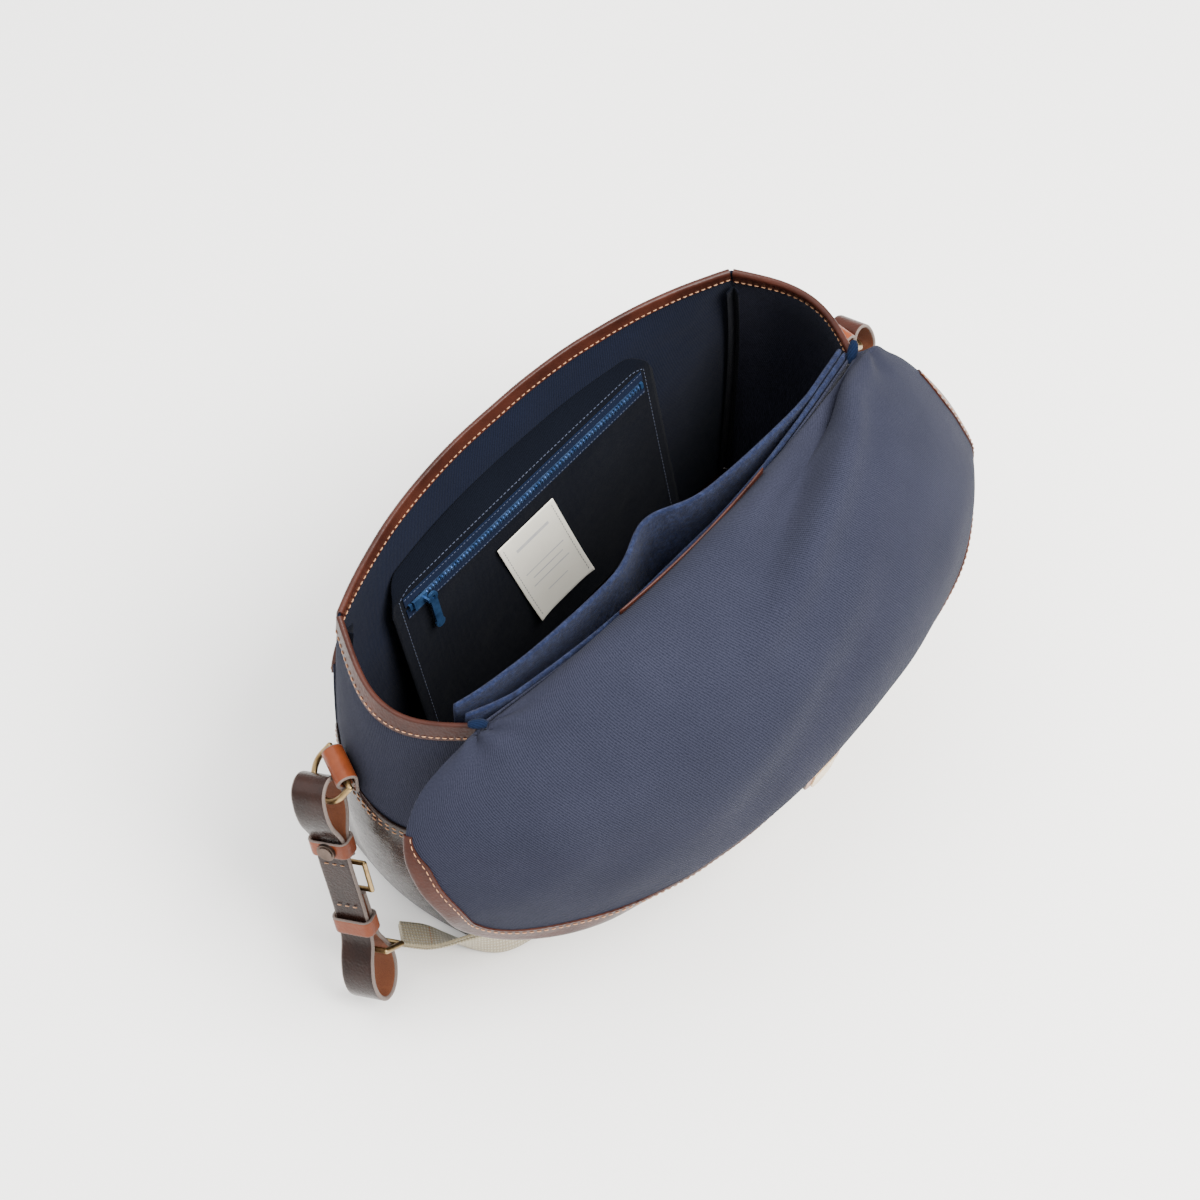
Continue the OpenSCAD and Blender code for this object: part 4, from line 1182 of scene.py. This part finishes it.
def flap_shape(u, s):
    """The smooth flap: u runs from -1 to 1 across it and s is the length from the rim."""
    u, s = np.broadcast_arrays(np.asarray(u, float), np.asarray(s, float))
    yc, zc = drape(s)
    w = np.abs(u)
    edge = np.where((u >= 0)[..., None], along_table(s, FLAP_PLACES, FLAP_EDGE[1]),
                    along_table(s, FLAP_PLACES, FLAP_EDGE[-1]))
    power = np.where(u >= 0, 2.0, 2.15)
    x = np.sign(u) * edge[..., 0] * np.sin(w * 1.05) / math.sin(1.05)
    return np.stack([x, yc + (edge[..., 1] - yc) * w ** power, zc + (edge[..., 2] - zc) * w ** 2.6], -1)


def flap_normal(u, s, shape):
    step_u, step_s = 0.004, 0.6
    du = shape(np.clip(u + step_u, -1, 1), s) - shape(np.clip(u - step_u, -1, 1), s)
    ds = shape(u, np.clip(s + step_s, 0, FLAP_LEN)) - shape(u, np.clip(s - step_s, 0, FLAP_LEN))
    normal = np.cross(du, ds)
    return normal / np.linalg.norm(normal, axis=-1, keepdims=True)


RIDGE_X = [-190, -176, -153, -126, -80, -25, 30, 98, 160]
RIDGE_S = [4, 12, 22, 40, 58, 76, 90, 104, 118]


def flap_relief(u, s):
    """How far the folds and creases stand off the smooth flap, in mm."""
    place = flap_shape(u, s)
    x = place[..., 0]
    crest = np.interp(x, RIDGE_X, RIDGE_S)
    strong = ramp01((90 - x) / 150)
    ridge = 9.5 * np.exp(-((s - crest) / 13) ** 2) * strong
    valley = -12.0 * np.exp(-((s - crest + 24) / 15) ** 2) * ramp01((40 - x) / 110)
    second = 3.0 * np.exp(-((s - 118 - 0.35 * (x + 20)) / 20) ** 2) * np.exp(-((x - 10) / 90) ** 2)
    hollow = -3.0 * np.exp(-((s - 150 - 0.35 * (x + 20)) / 24) ** 2) * np.exp(-((x - 10) / 110) ** 2)
    from_corner = np.hypot(187 - x, s)
    angle = np.arctan2(s, 187 - x)
    pinch = 2.2 * np.sin(angle * 9) * np.exp(-(from_corner / 42) ** 2) * ramp01(from_corner / 14)
    far_corner = np.hypot(187 + x, s)
    pinch = pinch + 1.6 * np.sin(np.arctan2(s, 187 + x)
                                 * 7) * np.exp(-(far_corner / 36) ** 2) * ramp01(far_corner / 14)
    flat = np.stack([x, s, 0 * x], -1)
    broad = soft_noise(flat, 95, 101) * 3.2 + soft_noise(flat, 38, 107) * 0.9
    return (ridge + valley + second + hollow + pinch + broad * ramp01(s / 20)) * ramp01(s / 9)


def flap_point(u, s):
    return flap_shape(u, s) + flap_normal(u, s, flap_shape) * flap_relief(u, s)[..., None]


def side_end(u):
    """The length s at which the rounded hem ends the cloth at u."""
    inside = np.clip((np.abs(u) - 0.3) / 0.7, 0, 1)
    return SIDE_END + (FLAP_LEN - SIDE_END) * np.maximum(1 - inside ** 2.5, 0) ** (1 / 2.5)


def flap_cloth():
    """The three pieces of cloth, each a sheet between two lengths from the rim."""
    spread = np.linspace(-1, 1, 131)
    u = np.sign(spread) * (1 - (1 - np.abs(spread)) ** 1.7)
    cuts = (0.0, *FLAP_CUTS, None)
    names = ("flap_cloth_rear", "flap_cloth_middle", "flap_cloth_front")
    nodes = ("flap_root", "flap_middle", "flap_front")
    for k in range(3):
        start = cuts[k]
        end = side_end(u) if cuts[k + 1] is None else np.full_like(u, cuts[k + 1])
        rows = (38, 50, 70)[k]
        s = start + (end[None, :] - start) * np.linspace(0, 1, rows)[:, None]
        uu = np.broadcast_to(u[None, :], s.shape)
        grid = flap_point(uu, s)
        normal = flap_normal(uu, s, flap_point)
        across = np.sign(uu) * FLAP_EDGE[1][5, 0] * np.abs(uu) * 1.03
        uv = np.stack([across, s], -1) * MM
        open_edges = {0: ("end",), 1: ("start", "end"), 2: ("start",)}[k]
        piece = sheet(names[k], grid, FLAP_T, "canvas", uv, flip=False, open_edges=open_edges,
                      normal=normal)
        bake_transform(piece)
        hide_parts(nodes[k])


def hem_path():
    """Places along the bound edge, as (u, s), from the right side round the hem to the left side."""
    down = [(1.0, s) for s in np.linspace(57, SIDE_END, 34)]
    round_hem = []
    for t in np.linspace(1, -1, 150)[1:-1]:
        u = math.copysign(1 - (1 - abs(t)) ** 1.7, t)
        round_hem.append((u, float(side_end(u))))
    up = [(-1.0, s) for s in np.linspace(SIDE_END, 57, 34)]
    return np.array(down + round_hem + up)


def flap_hem():
    path = hem_path()
    u, s = path[:, 0], path[:, 1]
    depths = np.linspace(0, HEM_BAND, 6)
    edge = flap_point(u, s)
    even = run_length(edge)
    stops = np.linspace(0, even[-1], 300)
    u, s = np.interp(stops, even, u), np.interp(stops, even, s)
    edge = flap_point(u, s)
    normal = flap_normal(u, s, flap_shape)
    tangent = np.gradient(edge, axis=0)
    tangent /= np.linalg.norm(tangent, axis=1, keepdims=True)
    inward = np.cross(tangent, normal)
    middle = flap_shape(np.zeros_like(u), np.full_like(s, 120.0))
    inward *= np.sign(((middle - edge) * inward).sum(1, keepdims=True))
    step_u, step_s = 0.01, 1.0
    sign_u = np.where(u > 0, -1.0, 1.0)
    fu = (flap_shape(u + sign_u * step_u, s) - flap_shape(u, s)) / (sign_u * step_u)[:, None]
    fs = (flap_shape(u, s) - flap_shape(u, s - step_s)) / step_s
    a, b, c = (fu * fu).sum(1), (fu * fs).sum(1), (fs * fs).sum(1)
    p, q = (fu * inward).sum(1), (fs * inward).sum(1)
    det = a * c - b * b
    du, ds = (p * c - q * b) / det, (q * a - p * b) / det
    narrow = 0.3 + 0.7 * ramp01((s - FLAP_CUTS[0]) / 32)
    deep = [(np.clip(u + du * d * narrow, -1, 1), np.clip(s + ds * d * narrow, 0, FLAP_LEN))
            for d in depths]
    strip = np.stack([flap_point(*at) for at in deep], 1)
    normals = np.stack([flap_normal(*at, flap_point) for at in deep], 1)
    pucker = np.sin(stops * 1.05) * 0.22 * (0.5 + 0.5 * np.sin(stops / 23.0))
    strip = strip + normals * (pucker[:, None] * (depths / HEM_BAND)[None, :])[..., None]
    front = s >= FLAP_CUTS[1]
    groups = (("middle_right", (~front) & (u > 0)), ("front", front), ("middle_left", (~front) & (u < 0)))
    half, wall = FLAP_T / 2 + 0.15, 1.1
    for word, mask in groups:
        index = np.flatnonzero(mask)
        if word == "middle_right":
            index = np.append(index, index[-1] + 1)
        elif word == "middle_left":
            index = np.insert(index, 0, index[0] - 1)
        piece = folded_edge("flap_binding_" + word, strip[index], normals[index], -inward[index], half,
                            wall, "brown")
        row = strip[index][:, 4] + normals[index][:, 4] * (half + wall)
        seam = stitches("flap_binding_stitch_" + word, row, normals[index][:, 4], pitch=4.8, length=3.2,
                        radius=0.38)
        low = strip[index][:, 4] - normals[index][:, 4] * (half + wall)
        under = stitches("flap_binding_under_stitch_" + word, low, -normals[index][:, 4], pitch=4.8,
                         length=3.2, radius=0.38)
        for part in (piece, seam, under):
            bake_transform(part)
    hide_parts("flap_binding_middle", "flap_binding_front")


def make_tab():
    """The closing tab: a thick leather plate under the hem, with the brass tongue on its outer face."""
    fold, hem = (np.array(drape(s, False)) for s in (FOLD_S, FLAP_LEN))
    way = hem - fold
    put = turned((0, *hem), (math.degrees(math.atan2(way[1], way[0])), 0, 0))
    half_width, reach, corner = 18.2, 26, 9
    shape = [(-half_width, -16), (half_width, -16)]
    for way, first in ((1, 0), (-1, 90)):
        for a in np.radians(np.linspace(first, first + 90, 8)):
            shape.append((way * (half_width - corner) + corner * math.cos(a),
                          reach - corner + corner * math.sin(a)))
    # The plate's face takes the pale pink leather, which is a painted highlight on the tab.
    plate = leather_plate("flap_tab_leather", np.array(shape), put, -2.0, 1.6,
                          ("painted_highlight_face", "edge", "suede"))
    place_on(plate, FLAP_BODIES[2], "leather_cognac", "flap_tab")


def finish_cad():
    """The rigid parts keep their CAD shapes and get a finish."""
    finishes = {"brass": ("lock_plate", "lock_rivets", "lock_catch", "d_ring_right", "d_ring_left",
                          "buckle_frame",
                          "buckle_prong", "strap_ring", "tab_rivets"),
                "bright_brass": ("tab_tongue",), "dark_metal": ("band_stud",), "zip_teeth": ("zip_teeth",),
                "zip_metal": ("zip_stops", "zip_slider", "zip_pull"), "board": ("base_board",)}
    for kind, names in finishes.items():
        for name in names:
            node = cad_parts[name]
            if not node.material_slots:
                node.data.materials.append(MATERIALS[kind])
            for slot in node.material_slots:
                slot.material = MATERIALS[kind]


def make_studio():
    """The camera, three soft lights, an even sky and a pale floor just under the bag."""
    make_camera()
    make_light("key", 196, 56, 2.6, 1.5, 200, (1.0, 0.985, 0.965))
    make_light("fill", 40, 48, 2.8, 2.4, 34, (0.95, 0.97, 1.0))
    make_light("top", 300, 78, 2.6, 2.4, 60)
    world = bpy.data.worlds.new("studio")
    world.use_nodes = True
    sky = world.node_tree.nodes["Background"]
    sky.inputs[0].default_value = (0.97, 0.965, 0.955, 1)
    sky.inputs[1].default_value = 1.75
    bpy.context.scene.world = world
    corners = [(-4, -4, 0), (4, -4, 0), (4, 4, 0), (-4, 4, 0)]
    floor = new_object("floor", corners, [(0, 1, 2, 3)], "floor", smooth=False)
    floor.location.z = -0.0006


make_studio()
make_walls()
make_base()
make_end_leathers()
make_bindings()
make_front_pocket()
make_lock()
make_zip_pocket()
make_care_label()
make_felt()
make_slip_edge()
make_corner_tabs()
make_inner_seams()
make_ring_tabs()
make_band()
make_webbing()
make_left_end()
flap_cloth()
flap_hem()
make_tab()
finish_cad()
